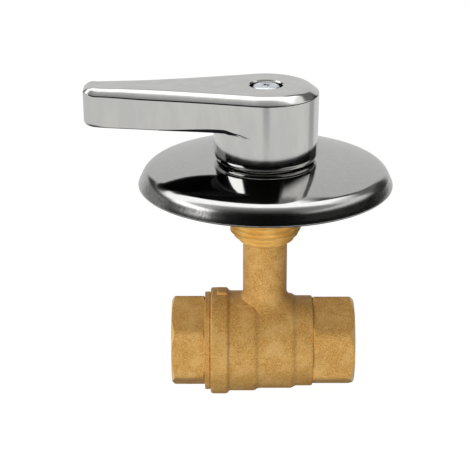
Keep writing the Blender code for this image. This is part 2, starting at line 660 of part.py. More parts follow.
def build_rosette_clamp():
    """A slotted ring nut on the collar, and the washer that keeps it off the chrome."""
    inner = ROSETTE_HOLE_RADIUS
    outer = ROSETTE_NUT_RADIUS
    nut_top = ROSETTE_NUT_BASE + ROSETTE_NUT_THICKNESS
    soft = washer(
        "rosette_washer", inner, outer, ROSETTE_WASHER_BASE,
        ROSETTE_WASHER_BASE + ROSETTE_WASHER_THICKNESS, MEDIUM_STEPS)
    finished(soft, "pale_acetal")
    nut = turned("rosette_nut", [
        (outer - GAP, nut_top), (outer, nut_top - GAP), (outer, ROSETTE_NUT_BASE + GAP),
        (outer - GAP, ROSETTE_NUT_BASE), (inner, ROSETTE_NUT_BASE), (inner, nut_top)],
        MEDIUM_STEPS, ring=True)
    change(nut, box("nut_slot", (SPANNER_SLOT_WIDTH, 2 * HUB_DIAMETER, 2 * SPANNER_SLOT_DEPTH), (
        0, 0, nut_top)), "DIFFERENCE")
    finished(nut, "turned_brass")


def handle_plan():
    """The handle's outline from above: the hub's round end, and a lever that narrows to its tip."""
    root = 90 + math.degrees(LEVER_ROOT_ANGLE)
    side = 90 + math.degrees(LEVER_SIDE_ANGLE)
    corner = (-LEVER_REACH + LEVER_TIP_CORNER, LEVER_TIP_WIDTH / 2 - LEVER_TIP_CORNER)
    hub_half = arc((0, 0), HUB_RADIUS, 0, root, 15)
    tip_half = arc(corner, LEVER_TIP_CORNER, side, 180, 4)
    start = hub_half[-1]
    end = tip_half[0]
    start_slope = math.tan(LEVER_ROOT_ANGLE)
    end_slope = math.tan(LEVER_SIDE_ANGLE)
    meet_x = (end[1] - start[1] + start_slope * start[0] - end_slope * end[0]) / (start_slope - end_slope)
    meet = (meet_x, start[1] + start_slope * (meet_x - start[0]))
    flank = []
    pieces = 8
    for index in range(1, pieces):
        t = index / pieces
        flank.append(tuple(
            (1 - t) ** 2 * start[axis] + 2 * t * (1 - t) * meet[axis] + t ** 2 * end[axis]
            for axis in (0, 1)))
    upper = hub_half + flank + tip_half
    lower = [(x, -y) for x, y in reversed(upper[1:])]
    return upper + lower


def lever_hollow():
    """The open hollow in the lever's underside: its outline set in by the wall, clear of the hub."""
    below = LEVER_BASE - LEVER_TOP_WALL
    hollow_top = HUB_TOP - LEVER_TOP_WALL
    bm = bmesh.new()
    outline = bm.faces.new([bm.verts.new((x, y, below)) for x, y in handle_plan()])
    bm.normal_update()
    bmesh.ops.inset_individual(bm, faces=[outline], thickness=LEVER_WALL, use_even_offset=True)
    rim = [face for face in bm.faces if face is not outline]
    bmesh.ops.delete(bm, geom=rim, context="FACES")
    lifted = bmesh.ops.extrude_face_region(bm, geom=[outline])
    top = [item for item in lifted["geom"] if isinstance(item, bmesh.types.BMVert)]
    bmesh.ops.translate(bm, vec=(0, 0, hollow_top - below), verts=top)
    bmesh.ops.recalc_face_normals(bm, faces=bm.faces)
    ceiling = [edge for edge in bm.edges if all(abs(v.co.z - hollow_top) < GAP / 10 for v in edge.verts)]
    bmesh.ops.bevel(
        bm, geom=ceiling, offset=LEVER_HOLLOW_DRAFT, offset_type="OFFSET", segments=1,
        profile=0.5, affect="EDGES", material=-1, clamp_overlap=True)
    hollow = from_bmesh("lever_hollow", bm)
    hub_side = HUB_RADIUS + LEVER_ROOT_FILLET + LEVER_HUB_WALL
    change(hollow, cylinder(
        "hollow_hub_side", hub_side, below - GAP, hollow_top + GAP, FINE_STEPS), "DIFFERENCE")
    return hollow


def build_handle():
    base = HUB_BASE - HUB_CLEARANCE
    bm = bmesh.new()
    floor = bm.faces.new([bm.verts.new((x, y, base)) for x, y in handle_plan()])
    lifted = bmesh.ops.extrude_face_region(bm, geom=[floor])
    top = [item for item in lifted["geom"] if isinstance(item, bmesh.types.BMVert)]
    bmesh.ops.translate(bm, vec=(0, 0, HUB_TOP - base), verts=top)
    bmesh.ops.recalc_face_normals(bm, faces=bm.faces)
    top_edges = [edge for edge in bm.edges if all(abs(v.co.z - HUB_TOP) < GAP / 10 for v in edge.verts)]
    bmesh.ops.bevel(
        bm, geom=top_edges, offset=TOP_EDGE_RADIUS, offset_type="OFFSET", segments=4,
        profile=0.5, affect="EDGES", material=-1, clamp_overlap=True)
    handle = from_bmesh("handle", bm, smooth=True)

    # A turned shape gives the hub's drafted side, the fillet and the lever's flat underside.
    neck_radius = HUB_RADIUS - HUB_DRAFT / 3
    beyond = 2 * LEVER_REACH
    underside = [
        (0, HUB_TOP + LEVER_THICKNESS), (beyond, HUB_TOP + LEVER_THICKNESS), (beyond, LEVER_BASE)]
    fillet_centre = (neck_radius + LEVER_ROOT_FILLET, LEVER_BASE - LEVER_ROOT_FILLET)
    underside += arc(fillet_centre, LEVER_ROOT_FILLET, 90, 180, 5)
    foot_radius = HUB_RADIUS - HUB_DRAFT
    foot_centre = (foot_radius - HUB_FOOT_RADIUS, HUB_BASE + HUB_FOOT_HEIGHT)
    foot_degrees = math.degrees(math.asin(HUB_FOOT_HEIGHT / HUB_FOOT_RADIUS))
    underside += arc(foot_centre, HUB_FOOT_RADIUS, 0, -foot_degrees, 3)
    underside.append((0, HUB_BASE))
    change(handle, turned("hub_and_underside", underside, FINE_STEPS), "INTERSECT")

    change(handle, lever_hollow(), "DIFFERENCE")
    cavity_top = STEM_TOP + 2 * GAP
    boss_radius = HUB_BOSS_DIAMETER / 2
    change(handle, turned("hub_cavity", [
        (0, BOSS_BASE), (boss_radius, BOSS_BASE), (boss_radius, cavity_top),
        (HUB_CAVITY_RADIUS, cavity_top), (HUB_CAVITY_RADIUS, HUB_BASE - GAP),
        (0, HUB_BASE - GAP)], MEDIUM_STEPS), "DIFFERENCE")
    socket = bush_blank("bush_socket", GAP, BOSS_BASE - GAP, BUSH_TOP + GAP)
    change(handle, socket, "DIFFERENCE")
    change(handle, turned("screw_hole", [
        (0, HUB_TOP + GAP), (SCREW_RECESS_DIAMETER / 2, HUB_TOP + GAP),
        (SCREW_RECESS_DIAMETER / 2, RECESS_FLOOR), (SCREW_DIAMETER / 2 + GAP, RECESS_FLOOR),
        (SCREW_DIAMETER / 2 + GAP, STEM_TOP), (0, STEM_TOP)], COARSE_STEPS), "DIFFERENCE")
    return finished(handle, "chrome", turns=True)


def bush_blank(name, clearance, low, high):
    """A round bar with four ribs: the bush's outside, and the socket that it fits."""
    bar = cylinder(name, BUSH_RADIUS + clearance, low, high, COARSE_STEPS)
    length = BUSH_DIAMETER + 2 * BUSH_RIB_HEIGHT + 2 * clearance
    width = BUSH_RIB_WIDTH + 2 * clearance
    for index, turn in enumerate((math.pi / 4, -math.pi / 4)):
        change(bar, box(
            name + "_ribs_" + str(index + 1), (length, width, high - low), (0, 0, (low + high) / 2), turn),
            "UNION")
    return bar


def build_stem_bush():
    bush = bush_blank("stem_bush", 0.0, BUSH_BASE, BUSH_TOP)
    cut_double_d(bush, BUSH_BASE, BUSH_TOP)
    return finished(bush, "pale_acetal", turns=True)


def build_handle_screw():
    washer_base = RECESS_FLOOR + GAP
    washer_top = washer_base + LOCK_WASHER_THICKNESS
    head_base = washer_top + GAP
    head_top = head_base + SCREW_HEAD_HEIGHT
    head_radius = SCREW_HEAD_DIAMETER / 2
    shank = SCREW_DIAMETER / 2
    tip = RECESS_FLOOR - SCREW_LENGTH + GAP
    crown = SCREW_HEAD_HEIGHT / 2
    screw = turned("handle_screw", [
        (0, head_top), (head_radius - crown, head_top - crown / 5),
        (head_radius - crown / 3, head_top - crown / 2),
        (head_radius, head_top - crown), (head_radius, head_base), (shank, head_base),
        (shank, tip + GAP), (shank - GAP, tip), (0, tip)], COARSE_STEPS)
    for index, turn in enumerate((0.0, math.pi / 2)):
        change(screw, box("cross_" + str(index + 1), (CROSS_LENGTH, CROSS_WIDTH, 2 * CROSS_DEPTH), (
            0, 0, head_top), turn), "DIFFERENCE")
    finished(screw, "zinc_steel", turns=True)

    lock = washer("lock_washer", shank + GAP, head_radius, washer_base, washer_top, COARSE_STEPS)
    change(lock, box("washer_split", (HUB_DIAMETER, LOCK_WASHER_SPLIT, 2 * LOCK_WASHER_THICKNESS), (
        HUB_RADIUS, 0, washer_base)), "DIFFERENCE")
    finished(lock, "zinc_steel", turns=True)


def build_rubber_rings():
    joint_radius = SPIGOT_BORE_RADIUS - SEAL_GAP - JOINT_RING_SECTION / 2
    joint = rubber_ring(
        "joint_o_ring", joint_radius, JOINT_RING_SECTION,
        JOINT_GROOVE_START + JOINT_GROOVE_WIDTH / 2, "X")
    finished(joint, "black_rubber")
    stem_ring_radius = NECK_BORE_RADIUS - SEAL_GAP - STEM_RING_SECTION / 2
    for name, height in zip(("stem_o_ring_lower", "stem_o_ring_upper"), STEM_RING_HEIGHTS):
        ring = rubber_ring(name, stem_ring_radius, STEM_RING_SECTION, height)
        finished(ring, "black_rubber", turns=True)


build_valve_body()
build_end_adapter()
build_seat("inlet_seat", "-X")
build_seat("outlet_seat", "X")
build_ball()
build_stem()
build_rubber_rings()
build_stem_washer("stem_washer_lower", LOWER_WASHER_BASE)
build_stem_washer("stem_washer_upper", UPPER_WASHER_BASE)
build_gland_nut()
build_stop_plate()
build_rosette()
build_rosette_clamp()
build_stem_bush()
build_handle()
build_handle_screw()
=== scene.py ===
"""Looks of the concealed stop valve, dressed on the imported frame.

Metres, +Z up, in the frame of the solids.  The pipe runs along X and the stem along Z.
"""
import math

import bmesh
import bpy
from mathutils import Matrix, Vector


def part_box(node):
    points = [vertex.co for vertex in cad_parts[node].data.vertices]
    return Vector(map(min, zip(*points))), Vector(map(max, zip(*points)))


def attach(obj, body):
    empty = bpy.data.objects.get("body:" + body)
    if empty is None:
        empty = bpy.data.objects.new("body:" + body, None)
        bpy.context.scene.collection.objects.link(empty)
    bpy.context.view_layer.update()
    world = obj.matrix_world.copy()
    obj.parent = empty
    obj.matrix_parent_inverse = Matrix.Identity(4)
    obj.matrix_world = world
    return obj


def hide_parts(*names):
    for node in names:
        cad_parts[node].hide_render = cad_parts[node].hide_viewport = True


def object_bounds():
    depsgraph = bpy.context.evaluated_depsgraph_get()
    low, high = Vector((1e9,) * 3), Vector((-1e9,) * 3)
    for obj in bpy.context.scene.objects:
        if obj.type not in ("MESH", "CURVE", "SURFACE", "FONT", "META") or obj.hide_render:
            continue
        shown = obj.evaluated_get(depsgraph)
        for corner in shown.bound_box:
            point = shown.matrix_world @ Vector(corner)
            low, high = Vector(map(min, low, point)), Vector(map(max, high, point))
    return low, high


MM = 0.001

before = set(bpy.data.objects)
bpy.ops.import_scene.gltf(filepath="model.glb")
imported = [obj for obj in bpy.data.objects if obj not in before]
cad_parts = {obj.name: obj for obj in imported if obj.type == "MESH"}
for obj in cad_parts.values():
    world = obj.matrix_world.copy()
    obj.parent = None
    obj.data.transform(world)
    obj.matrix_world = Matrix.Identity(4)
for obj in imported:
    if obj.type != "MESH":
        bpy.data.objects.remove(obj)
CAD_LOW, CAD_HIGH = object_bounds()

ADAPTER_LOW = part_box("end_adapter")[0]
BODY_LOW, BODY_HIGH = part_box("valve_body")
ROSETTE_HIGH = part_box("rosette")[1]
HANDLE_LOW, HANDLE_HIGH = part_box("handle")
SCREW_LOW, SCREW_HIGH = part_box("handle_screw")
LOCK_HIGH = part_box("lock_washer")[1]
BUSH_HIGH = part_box("stem_bush")[1]


class Signal:
    """A shader socket that works in Python expressions."""

    def __init__(self, tree, socket):
        self.tree = tree
        self.socket = socket

    def math(self, operation, *values):
        return self.tree.node("ShaderNodeMath", {"operation": operation}, *values)

    def __add__(self, other):
        return self.math("ADD", self, other)

    __radd__ = __add__

    def __sub__(self, other):
        return self.math("SUBTRACT", self, other)

    def __rsub__(self, other):
        return self.math("SUBTRACT", other, self)

    def __mul__(self, other):
        return self.math("MULTIPLY", self, other)

    __rmul__ = __mul__

    def __truediv__(self, other):
        return self.math("DIVIDE", self, other)

    def power(self, exponent):
        return self.math("POWER", self, exponent)

    def least(self, other):
        return self.math("MINIMUM", self, other)

    def most(self, other):
        return self.math("MAXIMUM", self, other)

    def rise(self, low, high):
        """0 below low, 1 above high, and smooth between them."""
        return self.tree.node(
            "ShaderNodeMapRange", {"interpolation_type": "SMOOTHSTEP"}, self, low, high, 0.0, 1.0)

    def between(self, low, high, soft):
        """1 inside a range with soft ends."""
        return self.rise(low - soft, low + soft) * (1.0 - self.rise(high - soft, high + soft))


class Tree:
    """Builds one node tree."""

    def __init__(self, owner):
        owner.use_nodes = True
        self.tree = owner.node_tree
        self.tree.nodes.clear()

    def link(self, socket, value):
        if isinstance(value, Signal):
            self.tree.links.new(value.socket, socket)
        elif isinstance(value, tuple) and len(value) == 3 and socket.type == "RGBA":
            socket.default_value = (*value, 1.0)
        else:
            socket.default_value = value

    def node(self, kind, settings=None, *values, output=0, **named):
        """Add a node: its settings first, then its sockets by order or by name."""
        made = self.tree.nodes.new(kind)
        for key, value in (settings or {}).items():
            setattr(made, key, value)
        for socket, value in zip(made.inputs, values):
            self.link(socket, value)
        for key, value in named.items():
            self.link(made.inputs[key.replace("_", " ")], value)
        return Signal(self, made.outputs[output])

    def mix(self, factor, first, second):
        """Blend two colours."""
        made = self.tree.nodes.new("ShaderNodeMix")
        made.data_type = "RGBA"
        self.link(made.inputs["Factor"], factor)
        self.link(made.inputs[6], first)
        self.link(made.inputs[7], second)
        return Signal(self, made.outputs[2])

    def place(self):
        return self.node("ShaderNodeTexCoord", output="Object")

    def axes(self, vector):
        """The three parts of a vector."""
        split = self.tree.nodes.new("ShaderNodeSeparateXYZ")
        self.link(split.inputs[0], vector)
        return [Signal(self, socket) for socket in split.outputs]

    def noise(self, vector, scale, detail=2.0, roughness=0.5):
        """Noise with a number of cells in a metre."""
        return self.node(
            "ShaderNodeTexNoise", {"noise_dimensions": "3D"},
            Vector=vector, Scale=scale, Detail=detail, Roughness=roughness)

    def bump(self, height, distance, strength):
        return self.node("ShaderNodeBump", None, Height=height, Distance=distance, Strength=strength)

    def ray(self, kind):
        """1 for rays of one kind."""
        return self.node("ShaderNodeLightPath", output=kind)

    def finish(self, shader, output="ShaderNodeOutputMaterial"):
        self.tree.links.new(shader.socket, self.tree.nodes.new(output).inputs["Surface"])


def principled(name, build):
    """A material whose Principled sockets come from build, as values or signals."""
    material = bpy.data.materials.new(name)
    tree = Tree(material)
    tree.finish(tree.node("ShaderNodeBsdfPrincipled", None, **build(tree)))
    return material


# Finishes: each pair of tones runs from dark to pale

FORGED_TONES = (0.46, 0.235, 0.052), (0.80, 0.45, 0.135)
FORGED_PALE = (0.86, 0.55, 0.21)
TURNED_TONES = (0.84, 0.50, 0.13), (0.93, 0.61, 0.20)
PLATE_TONES = (0.545, 0.545, 0.535), (0.575, 0.57, 0.56)
# Painted shade for the rosette's skirt
PLATE_SKIRT_SHADE = (0.24, 0.225, 0.21)
PLATE_ROLL_RADII = 35.0 * MM, 39.0 * MM
PLATE_SKIRT_RADII = 38.0 * MM, 39.2 * MM
CASTING_TONES = (0.665, 0.662, 0.645), (0.715, 0.71, 0.685)
# Painted shade: near-black tones for the hollows and for the lever's underside
HOLLOW_SHADE_TONES = (0.006, 0.006, 0.006), (0.018, 0.018, 0.019)
PLATE_BACK_TONES = (0.10, 0.10, 0.102), (0.16, 0.16, 0.16)
ZINC_TONES = (0.70, 0.74, 0.79), (0.84, 0.87, 0.91)
BALL_TONES = (0.66, 0.67, 0.68), (0.72, 0.72, 0.73)
PTFE_TONES = (0.82, 0.82, 0.80), (0.88, 0.88, 0.86)
RUBBER_TONES = (0.018, 0.018, 0.018), (0.03, 0.03, 0.03)
ACETAL_TONES = (0.74, 0.72, 0.66), (0.82, 0.80, 0.74)


def forged_brass(tree):
    """Shot-blasted forging: fine pits over soft patches of lighter and darker brass."""
    place = tree.place()
    grain = tree.noise(place, scale=3600.0, detail=2.0, roughness=0.6)
    pits = tree.noise(place, scale=2000.0, detail=3.0, roughness=0.65)
    cloud = tree.noise(place, scale=190.0, detail=3.0, roughness=0.6)
    speck = (grain * 0.6 + pits * 0.4).rise(0.38, 0.62)
    tone = tree.mix(speck, *FORGED_TONES)
    tone = tree.mix(cloud.rise(0.40, 0.72) * 0.5, tone, FORGED_PALE)
    return {
        "Base_Color": tone, "Metallic": 0.5, "Roughness": 0.55 + (cloud - 0.5) * 0.12,
        "Normal": tree.bump(pits * 0.6 + grain * 0.4, distance=0.25 * MM, strength=0.6)}


def turned_brass(tree):
    """Bare turned brass with the tool's fine marks."""
    place = tree.place()
    fine = tree.noise(place, scale=900.0)
    soft = tree.noise(place, scale=240.0)
    return {
        "Base_Color": tree.mix(soft.rise(0.35, 0.68), *TURNED_TONES),
        "Metallic": 0.55, "Roughness": 0.34 + (fine - 0.5) * 0.16,
        "Normal": tree.bump(fine, distance=0.03 * MM, strength=0.4)}


def chrome_plate(tree):
    """Bright chrome on a pressing: a mirror on its face, duller on its rolled edge, and streaky on its
    skirt, where painted shade darkens it.
    """
    place = tree.place()
    x, y, z = tree.axes(place)
    radius = (x * x + y * y).power(0.5)
    roll = radius.rise(*PLATE_ROLL_RADII)
    skirt = radius.rise(*PLATE_SKIRT_RADII)
    upright = tree.node("ShaderNodeMapping", None, Vector=place, Scale=(1.0, 1.0, 0.5))
    mottle = tree.noise(upright, scale=1500.0, detail=3.0, roughness=0.65)
    wave = tree.noise(place, scale=120.0)
    haze = tree.noise(place, scale=600.0, detail=3.0, roughness=0.6)
    tone = tree.mix(haze.rise(0.4, 0.7), *PLATE_TONES)
    # Painted shade: the skirt's reflections darkened in upright streaks
    tone = tree.mix(skirt * mottle.rise(0.42, 0.66) * 0.6, tone, PLATE_SKIRT_SHADE)
    return {
        "Base_Color": tone, "Metallic": 1.0, "Roughness": 0.045 + haze * 0.03 + roll * 0.17,
        "Normal": tree.bump(wave + skirt * mottle * 0.05, distance=0.03 * MM, strength=0.35)}


def chrome_casting(tree):
    """Bright chrome on a polished casting: softer, with faint upright mottling."""
    place = tree.place()
    upright = tree.node("ShaderNodeMapping", None, Vector=place, Scale=(1.0, 1.0, 0.28))
    wave = tree.noise(upright, scale=210.0, detail=3.0, roughness=0.55)
    haze = tree.noise(place, scale=700.0, detail=3.0, roughness=0.6)
    return {
        "Base_Color": tree.mix(wave.rise(0.38, 0.66), *CASTING_TONES),
        "Metallic": 1.0, "Roughness": 0.075 + haze * 0.05,
        "Normal": tree.bump(wave, distance=0.05 * MM, strength=0.4)}


def cast_hollow_painted_shade(tree):
    """The dull plating inside the casting and under it, where no wheel reaches, darkened to near black as
    painted shade.
    """
    grit = tree.noise(tree.place(), scale=1300.0, detail=3.0, roughness=0.6)
    return {
        "Base_Color": tree.mix(grit.rise(0.35, 0.65), *HOLLOW_SHADE_TONES),
        "Metallic": 0.7, "Roughness": 0.6 + (grit - 0.5) * 0.2,
        "Normal": tree.bump(grit, distance=0.1 * MM, strength=0.5)}


def plate_back(tree):
    """The dull back of the chromed pressing."""
    haze = tree.noise(tree.place(), scale=400.0, detail=3.0, roughness=0.6)
    return {
        "Base_Color": tree.mix(haze.rise(0.35, 0.65), *PLATE_BACK_TONES),
        "Metallic": 0.8, "Roughness": 0.4 + (haze - 0.5) * 0.2}


def zinc_plate(tree):
    """Bright zinc on small steel pieces."""
    cloud = tree.noise(tree.place(), scale=800.0, detail=3.0, roughness=0.6)
    return {
        "Base_Color": tree.mix(cloud.rise(0.35, 0.65), *ZINC_TONES),
        "Metallic": 1.0, "Roughness": 0.22 + cloud * 0.12,
        "Normal": tree.bump(cloud, distance=0.03 * MM, strength=0.4)}


def lapped_chrome(tree):
    """The ball's finely lapped chrome."""
    haze = tree.noise(tree.place(), scale=500.0)
    return {
        "Base_Color": tree.mix(haze, *BALL_TONES), "Metallic": 1.0, "Roughness": 0.05 + haze * 0.05}


def plain_solid(tones, scale, rough, dent):
    """A matt moulded or machined solid with a fine surface."""
    def build(tree):
        grain = tree.noise(tree.place(), scale, detail=3.0, roughness=0.6)
        return {
            "Base_Color": tree.mix(grain.rise(0.35, 0.65), *tones),
            "Roughness": rough + (grain - 0.5) * 0.15,
            "Normal": tree.bump(grain, distance=dent, strength=0.4)}
    return build


FORGED = principled("forged_brass", forged_brass)
TURNED = principled("turned_brass", turned_brass)
PLATE = principled("chrome_plate", chrome_plate)
CASTING = principled("chrome_casting", chrome_casting)
# Painted shade: a near-black finish for the hollows and under the lever
DULL_PAINTED_SHADE = principled("cast_hollow_painted_shade", cast_hollow_painted_shade)
PLATE_BACK = principled("chrome_plate_back", plate_back)
ZINC = principled("zinc_plated_steel", zinc_plate)
BALL = principled("lapped_chrome", lapped_chrome)
PTFE = principled("white_ptfe", plain_solid(PTFE_TONES, 900.0, 0.45, 0.02 * MM))
RUBBER = principled("black_rubber", plain_solid(RUBBER_TONES, 1500.0, 0.6, 0.03 * MM))
ACETAL = principled("pale_acetal", plain_solid(ACETAL_TONES, 700.0, 0.4, 0.02 * MM))

INNER_FINISHES = (
    (RUBBER, ("joint_o_ring", "stem_o_ring_lower", "stem_o_ring_upper")),
    (PTFE, ("inlet_seat", "outlet_seat", "stem_washer_lower", "stem_washer_upper")),
    (TURNED, ("gland_nut", "stem", "rosette_nut")), (BALL, ("ball",)),
    (ZINC, ("stop_plate", "lock_washer")), (ACETAL, ("rosette_washer", "stem_bush")))
for finish, node_names in INNER_FINISHES:
    for node_name in node_names:
        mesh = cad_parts[node_name].data
        mesh.materials.clear()
        mesh.materials.append(finish)


# Modelling helpers

MERGE = 0.001 * MM
SKIN_MERGE = 0.002 * MM


def new_piece(name, bm, *materials):
    """A mesh object from a bmesh, which it frees."""
    mesh = bpy.data.meshes.new(name)
    bm.to_mesh(mesh)
    bm.free()
    for material in materials:
        mesh.materials.append(material)
    piece = bpy.data.objects.new(name, mesh)
    bpy.context.scene.collection.objects.link(piece)
    return piece


def arc(centre, radius, start, end, count):
    """Points on an arc in degrees, both ends included."""
    points = []
    for index in range(count + 1):
        angle = math.radians(start + (end - start) * index / count)
        points.append((centre[0] + radius * math.cos(angle), centre[1] + radius * math.sin(angle)))
    return points


def spun(outline, steps, along="Z", ring=False):
    """Spin an outline of (radius, height) points into a closed mesh."""
    bm = bmesh.new()
    verts = [bm.verts.new((radius, 0.0, height)) for radius, height in outline]
    edges = [bm.edges.new(pair) for pair in zip(verts, verts[1:])]
    if ring:
        edges.append(bm.edges.new((verts[-1], verts[0])))
    bmesh.ops.spin(
        bm, geom=verts + edges, cent=(0, 0, 0), axis=(0, 0, 1), dvec=(0, 0, 0),
        angle=2 * math.pi, steps=steps, use_merge=True, use_duplicate=False)
    bmesh.ops.remove_doubles(bm, verts=bm.verts, dist=MERGE)
    bmesh.ops.recalc_face_normals(bm, faces=bm.faces)
    lay(bm, along)
    return bm


def turned(bm, angle, axis):
    """Turn a shape about one of the frame's axes."""
    bmesh.ops.rotate(bm, verts=bm.verts, cent=(0, 0, 0), matrix=Matrix.Rotation(angle, 3, axis))


def lay(bm, along):
    """Turn a shape's height axis from Z to X or -X."""
    if along != "Z":
        turned(bm, math.pi / 2 if along == "X" else -math.pi / 2, "Y")


def moved(bm, x, y, z):
    bmesh.ops.translate(bm, vec=(x, y, z), verts=bm.verts)


def soften(bm, edges, offset, segments):
    """Round edges off."""
    bmesh.ops.bevel(
        bm, geom=edges, offset=offset, offset_type="OFFSET", segments=segments, profile=0.5,
        affect="EDGES", material=-1)


def scaled_cube(x, y, z):
    bm = bmesh.new()
    bmesh.ops.create_cube(bm, size=1.0)
    bmesh.ops.scale(bm, vec=(x, y, z), verts=bm.verts)
    return bm


def run_boolean(piece, tools, operation):
    """Join, cut or intersect a piece with tool meshes and keep the result as its mesh."""
    for tool in tools:
        boolean = piece.modifiers.new("cut", "BOOLEAN")
        boolean.operation = operation
        boolean.object = tool
        boolean.solver = "EXACT"
        boolean.material_mode = "TRANSFER"
    graph = bpy.context.evaluated_depsgraph_get()
    old = piece.data
    piece.data = bpy.data.meshes.new_from_object(piece.evaluated_get(graph))
    piece.modifiers.clear()
    bpy.data.meshes.remove(old)
    for tool in tools:
        bpy.data.objects.remove(tool)


def smooth(piece, degrees=32.0):
    """Shade smooth, with edges sharper than an angle kept crisp."""
    piece.data.shade_smooth()
    piece.data.set_sharp_from_angle(angle=math.radians(degrees))
    return piece


def use_second_finish(piece, chosen):
    """Give the chosen faces the piece's second finish."""
    for face in piece.data.polygons:
        if chosen(face):
            face.material_index = 1


def extruded_rings(first, rings):
    """A skin through rings of points: each ring is the last one extruded and moved."""
    bm = bmesh.new()
    made = bmesh.ops.create_circle(bm, cap_ends=False, radius=1.0, segments=len(first))
    ring = made["verts"]
    for vert, point in zip(ring, first):
        vert.co = point

    def edges_of(ring):
        return [bm.edges.get(pair) for pair in zip(ring, ring[1:] + ring[:1])]

    edges = edges_of(ring)
    bottom = (ring, edges)
    for points in rings:
        grown = bmesh.ops.extrude_edge_only(bm, edges=edges)["geom"]
        fresh = {item for item in grown if isinstance(item, bmesh.types.BMVert)}
        ring = [next(e.other_vert(v) for e in v.link_edges if e.other_vert(v) in fresh) for v in ring]
        for vert, point in zip(ring, points):
            vert.co = point
        edges = edges_of(ring)
    return bm, bottom, (ring, edges)


def close_skin(bm, *rings):
    """Cap the open rings, merge what has run together, and point the faces out."""
    for ring, edges in rings:
        bmesh.ops.contextual_create(bm, geom=edges)
    bmesh.ops.remove_doubles(bm, verts=bm.verts, dist=SKIN_MERGE)
    bmesh.ops.dissolve_degenerate(bm, edges=bm.edges, dist=MERGE)
    bmesh.ops.recalc_face_normals(bm, faces=bm.faces)
    return bm


# Handle: hub and lever in one casting

HUB_TOP = HANDLE_HIGH.z
HUB_BASE = HANDLE_LOW.z
HUB_RADIUS = HANDLE_HIGH.x
HUB_DRAFT = 0.3 * MM
HUB_FOOT_HEIGHT = 2.1 * MM
HUB_FOOT_RADIUS = 3.0 * MM
HUB_FOOT_LIP = 0.1 * MM
HUB_WALL = 2.5 * MM
HUB_BOSS_RADIUS = 8.8 * MM
BOSS_BASE = 72.4 * MM
CAVITY_TOP = 79.8 * MM
LEVER_REACH = -HANDLE_LOW.x
LEVER_THICKNESS = 12.0 * MM
LEVER_BASE = HUB_TOP - LEVER_THICKNESS
LEVER_TIP_WIDTH = 13.5 * MM
LEVER_TIP_CORNER = 4.0 * MM
LEVER_SIDE_ANGLE = math.radians(6.0)
LEVER_ROOT_ANGLE = math.radians(14.4)
LEVER_ROOT_FILLET = 0.8 * MM
LEVER_WALL = 2.3 * MM
LEVER_TOP_WALL = 3.0 * MM
LEVER_HUB_WALL = 1.8 * MM
LEVER_HOLLOW_ROUND = 1.5 * MM
LEVER_HOLLOW_DRAFT = 0.3 * MM
LEVER_HOLLOW_HALF = 17 * MM, 6.5 * MM
SCREW_RECESS_RADIUS = 5.1 * MM
SCREW_RECESS_DEPTH = 3.6 * MM
SCREW_RECESS_LEAD = 0.35 * MM
SCREW_HOLE_RADIUS = 2.3 * MM
BUSH_CLEARANCE = 0.3 * MM
BUSH_RADIUS = 6.0 * MM
BUSH_RIB_LENGTH = 13.8 * MM
BUSH_RIB_WIDTH = 2.2 * MM
BUSH_RIB_ANGLES = 45, -45

# The top edge: a crisp round, an almost flat band that leans out, and a tight round into the
# side, each as (radius, first and last slope in degrees, steps)
TOP_ROUND = ((4.5 * MM, 0.0, 35.0, 9), (24.0 * MM, 35.0, 40.0, 3), (0.65 * MM, 40.0, 90.0, 8))

# The top edge's share of its size near the tip and round its corners, and where it shrinks
TIP_EDGE_SHARE = 0.84
TIP_END_SHARE = 0.55
TIP_EDGE_SPAN = 20 * MM, 5 * MM
TIP_END_SPAN = LEVER_TIP_CORNER, 0.4 * MM

# The bottom edge's rounding, and how much it grows towards the hub and the tip
LEVER_EDGE_RADIUS = 0.4 * MM
LEVER_EDGE_GROWTH = 3.0
ROOT_ROUNDING_SPAN = -34 * MM, -14 * MM
TIP_ROUNDING_LENGTH = 8 * MM
OVERHANG_ROUNDING_SHARE = 0.7

# Below these slopes a face gets the near-black finish of painted shade
FILLET_SHADE_SLOPE = -0.5
ROOT_EDGE_SHADE_SLOPE = -0.08
EDGE_SHADE_SLOPE = -0.8
ROOT_EDGE_START = -33 * MM

HUB_PLAN_STEPS = 60
FLANK_STEPS = 54
FLANK_CROWDING = 1.4
TIP_PLAN_STEPS = 16
TOP_SUPPORTS = 0.5 * MM, 0.08 * MM
WALL_SHARES = 0.03, 0.35, 0.65, 0.97
BASE_SHARES = 0.03, 0.4, 0.8, 1.0
FOOT_SHARES = 0.06, 0.5, 0.96
EDGE_STEPS = 8
FILLET_STEPS = 8
FOOT_STEPS = 10


def hub_wall(height):
    """The hub's radius at a height: it narrows a little towards its foot."""
    return HUB_RADIUS - HUB_DRAFT * (HUB_TOP - height) / (HUB_TOP - HUB_BASE)


DRAFT_ANGLE = math.atan(HUB_DRAFT / (HUB_TOP - HUB_BASE))
FILLET_CENTRE = (
    hub_wall(LEVER_BASE - LEVER_ROOT_FILLET) + LEVER_ROOT_FILLET / math.cos(DRAFT_ANGLE),
    LEVER_BASE - LEVER_ROOT_FILLET)
FILLET_END = FILLET_CENTRE[1] + LEVER_ROOT_FILLET * math.sin(DRAFT_ANGLE)


def top_edge():
    """The top edge as (inset, drop) points, from the flat top to the upright side."""
    points = [(0.0, 0.0)]
    for radius, start, end, count in TOP_ROUND:
        for index in range(1, count + 1):
            low = math.radians(start + (end - start) * (index - 1) / count)
            high = math.radians(start + (end - start) * index / count)
            reach = radius * (math.sin(high) - math.sin(low))
            fall = radius * (math.cos(low) - math.cos(high))
            points.append((points[-1][0] + reach, points[-1][1] + fall))
    inset = points[-1][0]
    return [(inset - reach, fall) for reach, fall in points]


